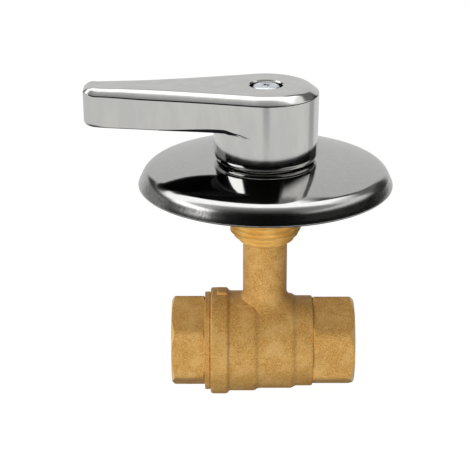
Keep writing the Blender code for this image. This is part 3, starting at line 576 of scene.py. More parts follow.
def half_plan():
    """Half of the outline from above, from the hub to the tip's middle, as (point, outward)."""
    root = 90 + math.degrees(LEVER_ROOT_ANGLE)
    side = 90 + math.degrees(LEVER_SIDE_ANGLE)
    corner = (-LEVER_REACH + LEVER_TIP_CORNER, LEVER_TIP_WIDTH / 2 - LEVER_TIP_CORNER)
    hub = [(p, Vector(p).normalized()) for p in arc((0, 0), HUB_RADIUS, 0, root, HUB_PLAN_STEPS)]
    tip = arc(corner, LEVER_TIP_CORNER, side, 180, TIP_PLAN_STEPS)
    start = hub[-1][0]
    end = tip[0]

    # The flank bends from the hub's tangent to the lever's side about the point where they meet
    start_slope = math.tan(LEVER_ROOT_ANGLE)
    end_slope = math.tan(LEVER_SIDE_ANGLE)
    meet_x = end[1] - start[1] + start_slope * start[0] - end_slope * end[0]
    meet_x /= start_slope - end_slope
    meet = (meet_x, start[1] + start_slope * (meet_x - start[0]))
    flank = []
    for index in range(1, FLANK_STEPS):
        t = (index / FLANK_STEPS) ** FLANK_CROWDING
        point = tuple(
            (1 - t) ** 2 * start[a] + 2 * t * (1 - t) * meet[a] + t ** 2 * end[a] for a in (0, 1))
        along = [(1 - t) * (meet[a] - start[a]) + t * (end[a] - meet[a]) for a in (0, 1)]
        outward = Vector((along[1], -along[0])).normalized()
        flank.append((point, outward if outward.y > 0 else -outward))
    tip = [(p, (Vector(p) - Vector(corner)).normalized()) for p in tip]
    return hub + flank + tip + [((-LEVER_REACH, 0.0), Vector((-1.0, 0.0)))]


def whole_plan():
    half = half_plan()
    mirrored = [((p[0], -p[1]), Vector((n.x, -n.y))) for p, n in reversed(half[1:-1])]
    return half + mirrored


def lever_base_at(radius):
    """Height of the underside at a distance from the stem: it falls into the root fillet."""
    inside = FILLET_CENTRE[0] - radius
    if inside <= 0:
        return LEVER_BASE
    inside = min(inside, LEVER_ROOT_FILLET)
    fallen = FILLET_CENTRE[1] + math.sqrt(LEVER_ROOT_FILLET ** 2 - inside ** 2)
    return max(FILLET_END, fallen)


def ease_between(value, low, high):
    """0 below low, 1 above high, and smooth between them."""
    share = max(0.0, min(1.0, (value - low) / (high - low)))
    return share * share * (3 - 2 * share)


def edge_share(reach):
    """The top edge gets smaller towards the lever's tip, and smaller still round its corners."""
    along = ease_between(reach, *(LEVER_REACH - length for length in TIP_EDGE_SPAN))
    corner = ease_between(reach, *(LEVER_REACH - length for length in TIP_END_SPAN))
    return 1.0 + (TIP_EDGE_SHARE - 1.0) * along + (TIP_END_SHARE - TIP_EDGE_SHARE) * corner


def base_rounding(reach):
    """The bottom edge is rounder at the tip and where the lever runs into the hub."""
    at_root = ease_between(-reach, *ROOT_ROUNDING_SPAN)
    at_tip = ease_between(reach, LEVER_REACH - TIP_ROUNDING_LENGTH, LEVER_REACH)
    return LEVER_EDGE_RADIUS * (1.0 + LEVER_EDGE_GROWTH * (at_root + at_tip))


def handle_column(point, normal):
    """One column of the handle's skin, from its flat top over the side to the hub's base."""
    outline = Vector(point)
    draft = math.tan(DRAFT_ANGLE)
    share_here = edge_share(-point[0])

    def at(inset, height):
        lean = draft * (HUB_TOP - height)
        flat = outline - normal * (inset + lean)
        return Vector((flat.x, flat.y, height))

    # Top and side
    edge = top_edge()
    column = [at(edge[0][0] * share_here + extra, HUB_TOP) for extra in TOP_SUPPORTS]
    column += [at(inset * share_here, HUB_TOP - drop * share_here) for inset, drop in edge]
    wall_top = HUB_TOP - edge[-1][1] * share_here
    side = at(0.0, LEVER_BASE)
    base = lever_base_at(side.xy.length)
    overhang = side.xy.length - hub_wall(LEVER_BASE)
    rounding = min(base_rounding(-outline.x), max(0.0, OVERHANG_ROUNDING_SHARE * overhang))
    for share in WALL_SHARES:
        column.append(at(0.0, wall_top + (base + rounding - wall_top) * share))
    for step in range(EDGE_STEPS + 1):
        angle = math.pi / 2 * step / EDGE_STEPS
        column.append(at(
            rounding * (1 - math.cos(angle)), base + rounding * (1 - math.sin(angle))))

    # Underside and root fillet, on a ray from the stem
    edge_point = column[-1]
    heading = Vector((edge_point.x, edge_point.y, 0.0)).normalized()

    def on_ray(radius, height):
        return Vector((heading.x * radius, heading.y * radius, height))

    reach = edge_point.xy.length
    flat_end = min(reach, FILLET_CENTRE[0])
    for share in BASE_SHARES:
        column.append(on_ray(reach + (flat_end - reach) * share, edge_point.z))
    inside = max(-1.0, min(1.0, (flat_end - FILLET_CENTRE[0]) / LEVER_ROOT_FILLET))
    start = max(math.pi / 2, math.acos(inside))
    end = max(start, math.pi - DRAFT_ANGLE)
    for step in range(1, FILLET_STEPS + 1):
        angle = start + (end - start) * step / FILLET_STEPS
        height = FILLET_CENTRE[1] + LEVER_ROOT_FILLET * math.sin(angle)
        radius = FILLET_CENTRE[0] + LEVER_ROOT_FILLET * math.cos(angle)
        column.append(on_ray(max(radius, hub_wall(height)), height))

    # Hub wall and its rounded foot
    foot_top = HUB_BASE + HUB_FOOT_HEIGHT
    for share in FOOT_SHARES:
        height = FILLET_END + (foot_top - FILLET_END) * share
        column.append(on_ray(hub_wall(height), height))
    turn = Vector((math.cos(DRAFT_ANGLE), -math.sin(DRAFT_ANGLE)))
    centre = Vector((hub_wall(foot_top), foot_top)) - turn * HUB_FOOT_RADIUS
    first = -math.degrees(DRAFT_ANGLE)
    last = -math.degrees(math.asin((centre.y - HUB_BASE) / HUB_FOOT_RADIUS))
    for radius, height in arc(centre, HUB_FOOT_RADIUS, first, last, FOOT_STEPS):
        column.append(on_ray(radius, height))
    column.append(on_ray(column[-1].xy.length - HUB_FOOT_LIP, HUB_BASE))
    return column


def lever_hollow():
    """The open hollow under the lever: the plan set in by the wall, kept clear of the hub."""
    hub_clear = HUB_RADIUS + LEVER_ROOT_FILLET + LEVER_HUB_WALL
    points = []
    for point, normal in half_plan():
        inner = Vector(point) - normal * LEVER_WALL
        if inner.x < 0 and inner.length > hub_clear:
            points.append((inner.x, inner.y))
    front = math.atan2(points[0][1], points[0][0])
    hub_side = [
        (hub_clear * math.cos(a), hub_clear * math.sin(a))
        for a in (math.pi + (front - math.pi) * share for share in (0.0, 0.25, 0.5, 0.75))]
    half = hub_side + points
    loop = half + [(x, -y) for x, y in reversed(half[1:-1])]
    half_length, half_width = LEVER_HOLLOW_HALF
    middle = Vector((-LEVER_REACH / 2 - hub_clear / 2, 0.0))

    def ring(height, shrink):
        scale = Vector((1 - shrink / half_length, 1 - shrink / half_width))
        spread = []
        for x, y in loop:
            offset = Vector((x, y)) - middle
            spread.append(Vector((
                middle.x + offset.x * scale.x, middle.y + offset.y * scale.y, height)))
        return spread

    top = HUB_TOP - LEVER_TOP_WALL
    rings = []
    for degrees in (0, 22, 45, 67, 90):
        angle = math.radians(degrees)
        rings.append(ring(
            top - LEVER_HOLLOW_ROUND * (1 - math.sin(angle)),
            LEVER_HOLLOW_DRAFT + LEVER_HOLLOW_ROUND * (1 - math.cos(angle))))
    bm, low, high = extruded_rings(ring(LEVER_BASE - 1.0 * MM, 0.0), rings)
    return new_piece("lever_hollow", close_skin(bm, low, high), DULL_PAINTED_SHADE)


def in_painted_shade(face):
    """True on the lever's underside, on its rounded edge near the hub and high in the fillet, where
    painted shade goes.
    """
    height = face.center.z
    if not LEVER_BASE - LEVER_ROOT_FILLET < height < LEVER_BASE + 4 * LEVER_EDGE_RADIUS:
        return False
    if height < LEVER_BASE - 0.02 * MM:
        return face.normal.z < FILLET_SHADE_SLOPE
    if face.center.x > ROOT_EDGE_START:
        return face.normal.z < ROOT_EDGE_SHADE_SLOPE
    return face.normal.z < EDGE_SHADE_SLOPE


def build_handle():
    columns = [handle_column(point, normal) for point, normal in whole_plan()]
    rings = list(zip(*columns))
    bm, low, high = extruded_rings(rings[0], rings[1:])
    close_skin(bm, low, high)
    handle = new_piece("handle_casting", bm, CASTING, DULL_PAINTED_SHADE)
    # The underside, the root edge and the upper fillet get the near-black finish as painted shade
    use_second_finish(handle, in_painted_shade)
    inner_radius = HUB_RADIUS - HUB_WALL
    below = HUB_BASE - MM
    cavity = new_piece("hub_cavity", spun([
        (0, BOSS_BASE), (HUB_BOSS_RADIUS, BOSS_BASE), (HUB_BOSS_RADIUS, CAVITY_TOP),
        (inner_radius, CAVITY_TOP), (inner_radius, below), (0, below)], 96), DULL_PAINTED_SHADE)
    floor = HUB_TOP - SCREW_RECESS_DEPTH
    wide = SCREW_RECESS_RADIUS + SCREW_RECESS_LEAD
    screw_hole = new_piece("screw_hole", spun([
        (0, HUB_TOP + MM), (wide, HUB_TOP + MM), (wide, HUB_TOP),
        (SCREW_RECESS_RADIUS, HUB_TOP - SCREW_RECESS_LEAD), (SCREW_RECESS_RADIUS, floor),
        (SCREW_HOLE_RADIUS, floor), (SCREW_HOLE_RADIUS, BUSH_HIGH.z - MM),
        (0, BUSH_HIGH.z - MM)], 64), CASTING)
    run_boolean(handle, [cavity, lever_hollow(), screw_hole, bush_socket()], "DIFFERENCE")
    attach(handle, "turning_set")
    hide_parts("handle")
    return smooth(handle)


def bush_socket():
    """The socket for the ribbed bush, a clearance larger than the bush all round."""
    radius = BUSH_RADIUS + BUSH_CLEARANCE
    low = BOSS_BASE - MM
    high = BUSH_HIGH.z + BUSH_CLEARANCE
    socket = new_piece("bush_socket", spun([
        (0, high), (radius, high), (radius, low), (0, low)], 48), DULL_PAINTED_SHADE)
    ribs = []
    for degrees in BUSH_RIB_ANGLES:
        bm = scaled_cube(
            BUSH_RIB_LENGTH + 2 * BUSH_CLEARANCE, BUSH_RIB_WIDTH + 2 * BUSH_CLEARANCE, high - low)
        turned(bm, math.radians(degrees), "Z")
        moved(bm, 0, 0, (low + high) / 2)
        ribs.append(new_piece("socket_rib", bm, DULL_PAINTED_SHADE))
    run_boolean(socket, ribs, "UNION")
    return socket


# Rosette

ROSETTE_RADIUS = ROSETTE_HIGH.x
ROSETTE_TOP = ROSETTE_HIGH.z
ROSETTE_DEPTH = 7.8 * MM
ROSETTE_SHEET = 1.0 * MM
ROSETTE_FLAT_RADIUS = 16.5 * MM
ROSETTE_HOLE_RADIUS = 11.65 * MM
DOME_SLOPE = math.radians(14.5)
SKIRT_SLOPE = math.radians(66.0)
ROLL_RADIUS = 5.0 * MM
DOME_STEPS = 12
ROLL_STEPS = 14
SKIRT_SHARES = 0.06, 0.5, 0.9
RIM_DEGREES = 20, 50, 90, 130, 160
BACK_SLOPE = -0.3


def rosette_face():
    """The rosette's outer face from its hole to its rim, as (radius, height, slope)."""
    roll_reach = ROLL_RADIUS * (math.sin(SKIRT_SLOPE) - math.sin(DOME_SLOPE))
    roll_drop = ROLL_RADIUS * (math.cos(DOME_SLOPE) - math.cos(SKIRT_SLOPE))
    spare = ROSETTE_RADIUS - ROSETTE_FLAT_RADIUS - roll_reach
    dome_tangent = math.tan(DOME_SLOPE / 2)
    skirt_tangent = math.tan(SKIRT_SLOPE)
    dome_reach = (ROSETTE_DEPTH - roll_drop - spare * skirt_tangent) / (dome_tangent - skirt_tangent)
    dome_radius = dome_reach / math.sin(DOME_SLOPE)
    points = [
        (ROSETTE_HOLE_RADIUS, ROSETTE_TOP, 0.0),
        (ROSETTE_FLAT_RADIUS - 0.3 * MM, ROSETTE_TOP, 0.0), (ROSETTE_FLAT_RADIUS, ROSETTE_TOP, 0.0)]

    def bend(radius, start, end, steps):
        x = points[-1][0] - radius * math.sin(start)
        z = points[-1][1] - radius * math.cos(start)
        for step in range(1, steps + 1):
            angle = start + (end - start) * step / steps
            points.append((x + radius * math.sin(angle), z + radius * math.cos(angle), angle))

    bend(dome_radius, 0.0, DOME_SLOPE, DOME_STEPS)
    bend(ROLL_RADIUS, DOME_SLOPE, SKIRT_SLOPE, ROLL_STEPS)
    for share in SKIRT_SHARES:
        radius = points[-1][0] + (ROSETTE_RADIUS - points[-1][0]) * share
        height = points[-1][1] + (ROSETTE_TOP - ROSETTE_DEPTH - points[-1][1]) * share
        points.append((radius, height, SKIRT_SLOPE))
    return points


def build_rosette():
    profile = rosette_face()
    outer = [(radius, height) for radius, height, angle in profile]
    inner = [
        (radius - ROSETTE_SHEET * math.sin(angle), height - ROSETTE_SHEET * math.cos(angle))
        for radius, height, angle in profile]
    end = Vector(outer[-1])
    back = Vector(inner[-1])
    down = Vector((math.cos(SKIRT_SLOPE), -math.sin(SKIRT_SLOPE)))
    middle = (end + back) / 2
    rim = []
    for degrees in RIM_DEGREES:
        angle = math.radians(degrees)
        side = (end - middle) * math.cos(angle)
        rim.append(tuple(middle + side + down * (ROSETTE_SHEET / 2 * math.sin(angle))))
    pressing = spun(outer + rim + inner[::-1], 160, ring=True)
    rosette = new_piece("rosette_pressing", pressing, PLATE, PLATE_BACK)
    use_second_finish(rosette, lambda face: face.normal.z < BACK_SLOPE)
    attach(rosette, "root")
    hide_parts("rosette")
    return smooth(rosette, 40.0)


# Threads, worked as a wave round a turned surface

PIPE_THREAD_PITCH = 1.814 * MM
PIPE_THREAD_DEPTH = 1.16 * MM
COLLAR_THREAD_PITCH = 1.69 * MM
COLLAR_THREAD_DEPTH = 1.05 * MM


def fine_stations(start, end, step):
    count = max(1, round(abs(end - start) / step))
    return [start + (end - start) * index / count for index in range(count + 1)]


def cut_thread(bm, low, high, pitch, depth, fade):
    """Wave the radius of a shape turned about Z into a helical thread between two heights."""
    for vert in bm.verts:
        x, y, z = vert.co
        radius = math.hypot(x, y)
        if not low < z < high or radius < MM:
            continue
        turn = math.atan2(y, x) / (2 * math.pi)
        phase = (z / pitch - turn) % 1.0
        ridge = 0.5 - 0.5 * math.cos(2 * math.pi * phase)
        share = min(1.0, (z - low) / fade, (high - z) / fade)
        grown = (radius + depth * ridge * share) / radius
        vert.co.x *= grown
        vert.co.y *= grown


# Valve body and end adapter

HEX_ACROSS_FLATS = 27.0 * MM
HEX_RADIUS = HEX_ACROSS_FLATS / math.sqrt(3)
HEX_CORE_RADIUS = HEX_ACROSS_FLATS / 2 - 0.6 * MM
HEX_END_CHAMFER = 1.7 * MM
HEX_ROOT_CHAMFER = 1.25 * MM
HEX_FACE_SETBACK = 0.3 * MM
HEX_EDGE_BEVEL = 1.2 * MM
HEX_OVERLAP = 0.6 * MM
INLET_HEX_TURN = math.radians(-3.0)
HEX_START = 15.5 * MM
OUTLET_END = BODY_HIGH.x
INLET_END = ADAPTER_LOW.x
MOUTH = BODY_LOW.x
SHOULDER_START = -19.3 * MM
SHOULDER_RADIUS = 15.9 * MM
SHOULDER_CHAMFER = 0.25 * MM
SHOULDER_GAP = 0.05 * MM
SHOULDER_CORE_LENGTH = 5 * MM
RIM_RADIUS = 17.3 * MM
RIM_END = -12.0 * MM
RIM_NUB_HEIGHT = 0.6 * MM
RIM_NUB_LENGTH = 3.3 * MM
RIM_NUB_WIDTH = 5.0 * MM
RIM_NUB_DEPTH = 3.4 * MM
RIM_NUB_SETBACK = 0.1 * MM
RIM_NUB_BEVEL = 0.45 * MM
SPIGOT_WALL_RADIUS = 16.3 * MM
SPIGOT_WALL_END = -2.7 * MM
CHAMBER_WALL_RADIUS = 15.5 * MM
CHAMBER_WALL_END = 9.3 * MM
OUTLET_WALL_RADIUS = 14.7 * MM
WALL_EASE = 0.6 * MM
WALL_ROUNDING = 1.0 * MM
CHAMBER_RADIUS = 12.8 * MM
CHAMBER_END = 8.8 * MM
SPIGOT_BORE_RADIUS = 13.9 * MM
SPIGOT_CLEARANCE = 0.3 * MM
SPIGOT_END = -9.1 * MM
SPIGOT_CHAMFER = 0.3 * MM
RING_GROOVE_START = -14.5 * MM
RING_GROOVE_END = -16.3 * MM
RING_GROOVE_RADIUS = 11.9 * MM
SEAT_POCKET_RADIUS = 11.1 * MM
SEAT_POCKET_END = 11.3 * MM
THREAD_BORE_RADIUS = 9.3 * MM
THREAD_DEPTH = 13.0 * MM
THREAD_RUNOUT = 0.9 * MM
MOUTH_LEAD = 1.3 * MM
BORE_RADIUS = 7.5 * MM
ADAPTER_BORE_END = 9 * MM
NECK_RADIUS = 7.05 * MM
NECK_FILLET = 2.6 * MM
NECK_FILLET_STRETCH = 0.35
NECK_SINK = 1.2 * MM
NECK_BORE_RADIUS = 4.5 * MM
NECK_SIDES = 96
NECK_FOOT_STEPS = 10
COLLAR_RADIUS = 11.35 * MM
COLLAR_BASE = 39.1 * MM
COLLAR_TOP = 69.0 * MM
COLLAR_CHAMFER = 0.3 * MM
COLLAR_STEP = 0.2 * MM
GLAND_POCKET_RADIUS = 7.7 * MM
GLAND_FLOOR = 53.0 * MM
STOP_LUG_INNER = 8.4 * MM
STOP_LUG_OUTER = 10.75 * MM
STOP_LUG_HEIGHT = 2.4 * MM
STOP_LUG_SINK = 0.6 * MM
STOP_LUG_ANGLE = 34.0
STOP_FREE_HALF = 65.3
STOP_MIDDLE = 135.0


def hexagon(name, start, end, turn, start_chamfer, end_chamfer):
    """A hexagon bar along X with rounded long edges and its corners turned off."""
    bm = bmesh.new()
    bmesh.ops.create_cone(
        bm, cap_ends=True, segments=6, radius1=HEX_RADIUS, radius2=HEX_RADIUS, depth=end - start)
    turned(bm, math.pi / 6 + turn, "Z")
    long_edges = [e for e in bm.edges if abs(e.verts[0].co.z - e.verts[1].co.z) > MM]
    soften(bm, long_edges, HEX_EDGE_BEVEL, 5)
    lay(bm, "X")
    moved(bm, (start + end) / 2, 0, 0)
    bar = new_piece(name, bm, FORGED)

    # The chamfering tool is a little smaller than the flats on the end faces and wider between
    half = HEX_ACROSS_FLATS / 2
    small = half - HEX_FACE_SETBACK
    rise = HEX_RADIUS + HEX_FACE_SETBACK - half
    depth = HEX_RADIUS - half
    tool = new_piece("chamfers", spun([
        (0, end + MM), (small, end + MM), (small, end),
        (half + rise, end - end_chamfer * rise / depth),
        (half + rise, start + start_chamfer * rise / depth),
        (small, start), (small, start - MM), (0, start - MM)], 96, "X"), TURNED)
    run_boolean(bar, [tool], "INTERSECT")
    return bar


def mouth_cutter(name, end, inwards, along):
    """The threaded mouth and the bore behind it. Height runs out of the mouth."""
    floor = end - THREAD_DEPTH
    outline = [(0, end + MOUTH_LEAD), (THREAD_BORE_RADIUS + 2 * MOUTH_LEAD, end + MOUTH_LEAD)]
    outline += [(THREAD_BORE_RADIUS, h) for h in fine_stations(end - MOUTH_LEAD, floor, 0.18 * MM)]
    outline += [(BORE_RADIUS, floor - THREAD_RUNOUT), (BORE_RADIUS, inwards), (0, inwards)]
    bm = spun(outline, 72)
    cut_thread(
        bm, floor, end - MOUTH_LEAD * 0.2, PIPE_THREAD_PITCH, PIPE_THREAD_DEPTH, fade=1.2 * MM)
    lay(bm, along)
    return new_piece(name, bm, TURNED)


def neck_with_collar():
    """Neck and threaded collar, with a forged fillet that follows the round body at its foot."""
    around = [2 * math.pi * index / NECK_SIDES for index in range(NECK_SIDES)]
    taper = COLLAR_RADIUS - NECK_RADIUS
    root = COLLAR_RADIUS - COLLAR_THREAD_DEPTH
    stations = [(COLLAR_RADIUS - COLLAR_CHAMFER, COLLAR_TOP)]
    for height in fine_stations(COLLAR_TOP - COLLAR_CHAMFER, COLLAR_BASE, COLLAR_STEP):
        stations.append((root, height))
    for height in fine_stations(COLLAR_BASE, COLLAR_BASE - taper, COLLAR_STEP)[1:]:
        share = (COLLAR_BASE - height) / taper
        stations.append((NECK_RADIUS + (root - NECK_RADIUS) * (1 - share), height))
    neck_top = COLLAR_BASE - taper - COLLAR_CHAMFER
    for height in fine_stations(neck_top, CHAMBER_WALL_RADIUS + 2 * NECK_FILLET, 1.5 * MM):
        stations.append((NECK_RADIUS, height))
    rings = [
        [Vector((radius * math.cos(angle), radius * math.sin(angle), height)) for angle in around]
        for radius, height in stations]
    wall = CHAMBER_WALL_RADIUS - 0.05 * MM
    for step in range(NECK_FOOT_STEPS + 1):
        down = math.pi / 2 * step / NECK_FOOT_STEPS
        radius = NECK_RADIUS + NECK_FILLET * (1 - math.cos(down))
        ring = []
        for angle in around:
            across = radius * math.sin(angle)
            surface = math.sqrt(wall ** 2 - across ** 2)
            stretch = 1.0 + NECK_FILLET_STRETCH * abs(math.sin(angle))
            lift = NECK_FILLET * (1 - math.sin(down)) * stretch
            ring.append(Vector((radius * math.cos(angle), across, surface + lift)))
        rings.append(ring)
    rings.append([Vector((point.x, point.y, point.z - NECK_SINK)) for point in rings[-1]])
    bm, low, high = extruded_rings(rings[0], rings[1:])
    close_skin(bm, low, high)
    cut_thread(
        bm, COLLAR_BASE - taper * 0.95, COLLAR_TOP - 0.2 * MM, COLLAR_THREAD_PITCH,
        COLLAR_THREAD_DEPTH, fade=1.0 * MM)
    neck = new_piece("neck", bm, FORGED, TURNED)
    use_second_finish(neck, lambda face: face.center.z > COLLAR_BASE - taper * 0.9)
    return neck


def rounded_steps(corners, radius, count):
    """An outline with every inner corner rounded."""
    points = [corners[0]]
    for before, here, after in zip(corners, corners[1:], corners[2:]):
        corner = Vector(here)
        a = Vector(before) - corner
        b = Vector(after) - corner
        cut = min(radius, a.length * 0.45, b.length * 0.45)
        first = corner + a.normalized() * cut
        last = corner + b.normalized() * cut
        for index in range(count + 1):
            t = index / count
            points.append(tuple((1 - t) ** 2 * first + 2 * t * (1 - t) * corner + t ** 2 * last))
    points.append(corners[-1])
    return points


def rim_nub():
    """The small pad on top of the rim, with soft corners."""
    bm = scaled_cube(RIM_NUB_LENGTH, RIM_NUB_WIDTH, RIM_NUB_DEPTH)
    soften(bm, bm.edges, RIM_NUB_BEVEL, 3)
    along = RIM_END - RIM_NUB_LENGTH / 2 - RIM_NUB_SETBACK
    moved(bm, along, 0, RIM_RADIUS + RIM_NUB_HEIGHT - RIM_NUB_DEPTH / 2)
    return new_piece("rim_nub", bm, FORGED)


def stop_lug(centre_degrees):
    """A raised sector on the collar's rim that stops the stem's tab."""
    bm = bmesh.new()
    base = COLLAR_TOP - STOP_LUG_SINK
    top = COLLAR_TOP + STOP_LUG_HEIGHT
    outline = (STOP_LUG_INNER, base), (STOP_LUG_OUTER, base), (STOP_LUG_OUTER, top), (STOP_LUG_INNER, top)
    corners = [bm.verts.new((radius, 0.0, height)) for radius, height in outline]
    face = bm.faces.new(corners)
    turned(bm, math.radians(centre_degrees - STOP_LUG_ANGLE / 2), "Z")
    bmesh.ops.spin(
        bm, geom=[face] + list(face.edges) + corners, cent=(0, 0, 0), axis=(0, 0, 1),
        dvec=(0, 0, 0), angle=math.radians(STOP_LUG_ANGLE), steps=8, use_duplicate=False)
    bmesh.ops.remove_doubles(bm, verts=bm.verts, dist=MERGE)
    bmesh.ops.recalc_face_normals(bm, faces=bm.faces)
    return new_piece("stop_lug", bm, FORGED)


def build_valve_body():
    core_end = OUTLET_END - THREAD_DEPTH / 2
    shell = rounded_steps([
        (0, core_end), (HEX_CORE_RADIUS, core_end),
        (HEX_CORE_RADIUS, HEX_START), (OUTLET_WALL_RADIUS, HEX_START),
        (OUTLET_WALL_RADIUS, CHAMBER_WALL_END + WALL_EASE),
        (CHAMBER_WALL_RADIUS, CHAMBER_WALL_END - WALL_EASE),
        (CHAMBER_WALL_RADIUS, SPIGOT_WALL_END + WALL_EASE),
        (SPIGOT_WALL_RADIUS, SPIGOT_WALL_END - WALL_EASE),
        (SPIGOT_WALL_RADIUS, RIM_END + WALL_EASE), (RIM_RADIUS - 0.2 * MM, RIM_END),
        (RIM_RADIUS, RIM_END - WALL_EASE), (RIM_RADIUS, MOUTH), (0, MOUTH)], WALL_ROUNDING, 6)
    body = new_piece("valve_body_forging", spun(shell, 144, "X"), FORGED)
    bar = hexagon(
        "outlet_hexagon", HEX_START - HEX_OVERLAP, OUTLET_END, 0.0, HEX_ROOT_CHAMFER,
        HEX_END_CHAMFER)
    turn = STOP_FREE_HALF + STOP_LUG_ANGLE / 2
    lugs = [stop_lug(STOP_MIDDLE + side * turn) for side in (1, -1)]
    run_boolean(body, [bar, neck_with_collar(), rim_nub()] + lugs, "UNION")
    cavity = new_piece("body_cavity", spun([
        (0, SEAT_POCKET_END), (SEAT_POCKET_RADIUS, SEAT_POCKET_END),
        (SEAT_POCKET_RADIUS, CHAMBER_END), (CHAMBER_RADIUS, CHAMBER_END),
        (CHAMBER_RADIUS, -CHAMBER_END), (SPIGOT_BORE_RADIUS, -CHAMBER_END),
        (SPIGOT_BORE_RADIUS, MOUTH - MM), (0, MOUTH - MM)], 96, "X"), TURNED)
    neck_bore = new_piece("neck_bore", spun([
        (0, COLLAR_TOP + MM), (GLAND_POCKET_RADIUS, COLLAR_TOP + MM),
        (GLAND_POCKET_RADIUS, GLAND_FLOOR), (NECK_BORE_RADIUS, GLAND_FLOOR),
        (NECK_BORE_RADIUS, 0), (0, 0)], 48), TURNED)
    mouth = mouth_cutter("outlet_mouth", OUTLET_END, CHAMBER_END, "X")
    run_boolean(body, [cavity, neck_bore, mouth], "DIFFERENCE")
    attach(body, "root")
    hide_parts("valve_body")
    return smooth(body, 38.0)


def build_end_adapter():
    spigot = SPIGOT_BORE_RADIUS - SPIGOT_CLEARANCE
    seam = MOUTH - SHOULDER_GAP
    core_end = SHOULDER_START - SHOULDER_CORE_LENGTH
    adapter = new_piece("end_adapter_forging", spun([
        (0, SPIGOT_END), (spigot - SPIGOT_CHAMFER, SPIGOT_END), (spigot, SPIGOT_END - SPIGOT_CHAMFER),
        (spigot, RING_GROOVE_START), (RING_GROOVE_RADIUS, RING_GROOVE_START),
        (RING_GROOVE_RADIUS, RING_GROOVE_END), (spigot, RING_GROOVE_END), (spigot, seam),
        (SHOULDER_RADIUS - SHOULDER_CHAMFER, seam), (SHOULDER_RADIUS, seam - SHOULDER_CHAMFER),
        (SHOULDER_RADIUS, SHOULDER_START + SHOULDER_CHAMFER),
        (SHOULDER_RADIUS - SHOULDER_CHAMFER, SHOULDER_START),
        (HEX_CORE_RADIUS, SHOULDER_START), (HEX_CORE_RADIUS, core_end), (0, core_end)],
        144, "X"), FORGED)
    bar = hexagon(
        "inlet_hexagon", INLET_END, SHOULDER_START + HEX_OVERLAP, INLET_HEX_TURN, HEX_ROOT_CHAMFER,
        HEX_ROOT_CHAMFER)
    run_boolean(adapter, [bar], "UNION")
    mouth = mouth_cutter("inlet_mouth", -INLET_END, ADAPTER_BORE_END, "-X")
    pocket = new_piece("seat_pocket", spun([
        (0, -CHAMBER_END), (SEAT_POCKET_RADIUS, -CHAMBER_END),
        (SEAT_POCKET_RADIUS, -SEAT_POCKET_END), (0, -SEAT_POCKET_END)], 96, "X"), TURNED)
    run_boolean(adapter, [mouth, pocket], "DIFFERENCE")
    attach(adapter, "root")
    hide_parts("end_adapter")
    return smooth(adapter, 38.0)


# Handle screw

SCREW_SHANK_RADIUS = 2.0 * MM
SCREW_CHAMFER = 0.5 * MM
SCREW_CLEARANCE = 0.3 * MM
SCREW_CROWN_RADIUS = 1.1 * MM
SCREW_CROWN_DOME = (0, 0), (1.2 * MM, 0.02 * MM), (2.4 * MM, 0.12 * MM)
CROSS_SIZE = 4.4 * MM, 0.95 * MM, 3.0 * MM
CROSS_TAPER = 0.35, 0.7
CROSS_ANGLES = 35, 125


def build_handle_screw():
    """Pan head with a tapered cross recess."""
    top = SCREW_HIGH.z
    tip = SCREW_LOW.z
    base = LOCK_HIGH.z + SCREW_CLEARANCE
    head = SCREW_HIGH.x
    crown_centre = (head - SCREW_CROWN_RADIUS, base + 0.9 * MM)
    outline = [(radius, top - drop) for radius, drop in SCREW_CROWN_DOME]
    outline += reversed(arc(crown_centre, SCREW_CROWN_RADIUS, 0, 66, 6))
    outline += [
        (head, base + 0.2 * MM), (head - 0.2 * MM, base), (SCREW_SHANK_RADIUS, base),
        (SCREW_SHANK_RADIUS, tip + SCREW_CHAMFER), (SCREW_SHANK_RADIUS - SCREW_CHAMFER, tip), (0, tip)]
    screw = new_piece("handle_screw_turned", spun(outline, 64), ZINC)
    tools = []
    for degrees in CROSS_ANGLES:
        bm = scaled_cube(*CROSS_SIZE)
        for vert in bm.verts:
            if vert.co.z < 0:
                vert.co.x *= CROSS_TAPER[0]
                vert.co.y *= CROSS_TAPER[1]
        turned(bm, math.radians(degrees), "Z")
        moved(bm, 0, 0, top)
        tools.append(new_piece("cross", bm, ZINC))
    run_boolean(screw, tools, "DIFFERENCE")
    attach(screw, "turning_set")
    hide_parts("handle_screw")
    return smooth(screw)


build_valve_body()
build_end_adapter()
build_rosette()
build_handle()
build_handle_screw()


# Camera, at the photograph's viewing angle

CAMERA_PLACE = Vector((-9.6, -525.6, 238.5)) * MM
CAMERA_PITCH = math.radians(21.0)
CAMERA_LENS = 135.3

camera_data = bpy.data.cameras.new("camera")
camera_data.lens = CAMERA_LENS
camera_data.sensor_width = 36.0
camera_data.clip_start = 0.05
camera_data.clip_end = 20.0
camera = bpy.data.objects.new("camera", camera_data)
camera.location = CAMERA_PLACE
camera.rotation_euler = (math.pi / 2 - CAMERA_PITCH, 0.0, 0.0)
bpy.context.scene.collection.objects.link(camera)
bpy.context.scene.camera = camera


# Studio: what the metal sees all round, painted by direction.  Angles are in degrees, azimuth 0
# faces the front and -90 the left, and heights count over the top from the back horizon.

BACKDROP_LIGHT = 0.68
FRONT_EDGE_LIGHT = 0.66
FRONT_EDGE_OVER = 86.0
FRONT_EDGE_FADE = 16.0
DARK_LIGHT = 0.003
FLOOR_LIGHT = 0.73
FLOOR_BELOW_LIGHT = 0.08
FLOOR_STREAK_LIGHT = 0.45
DIFFUSE_LIGHT = (0.15, 0.145, 0.135)
WHITE = (1.0, 1.0, 1.0)

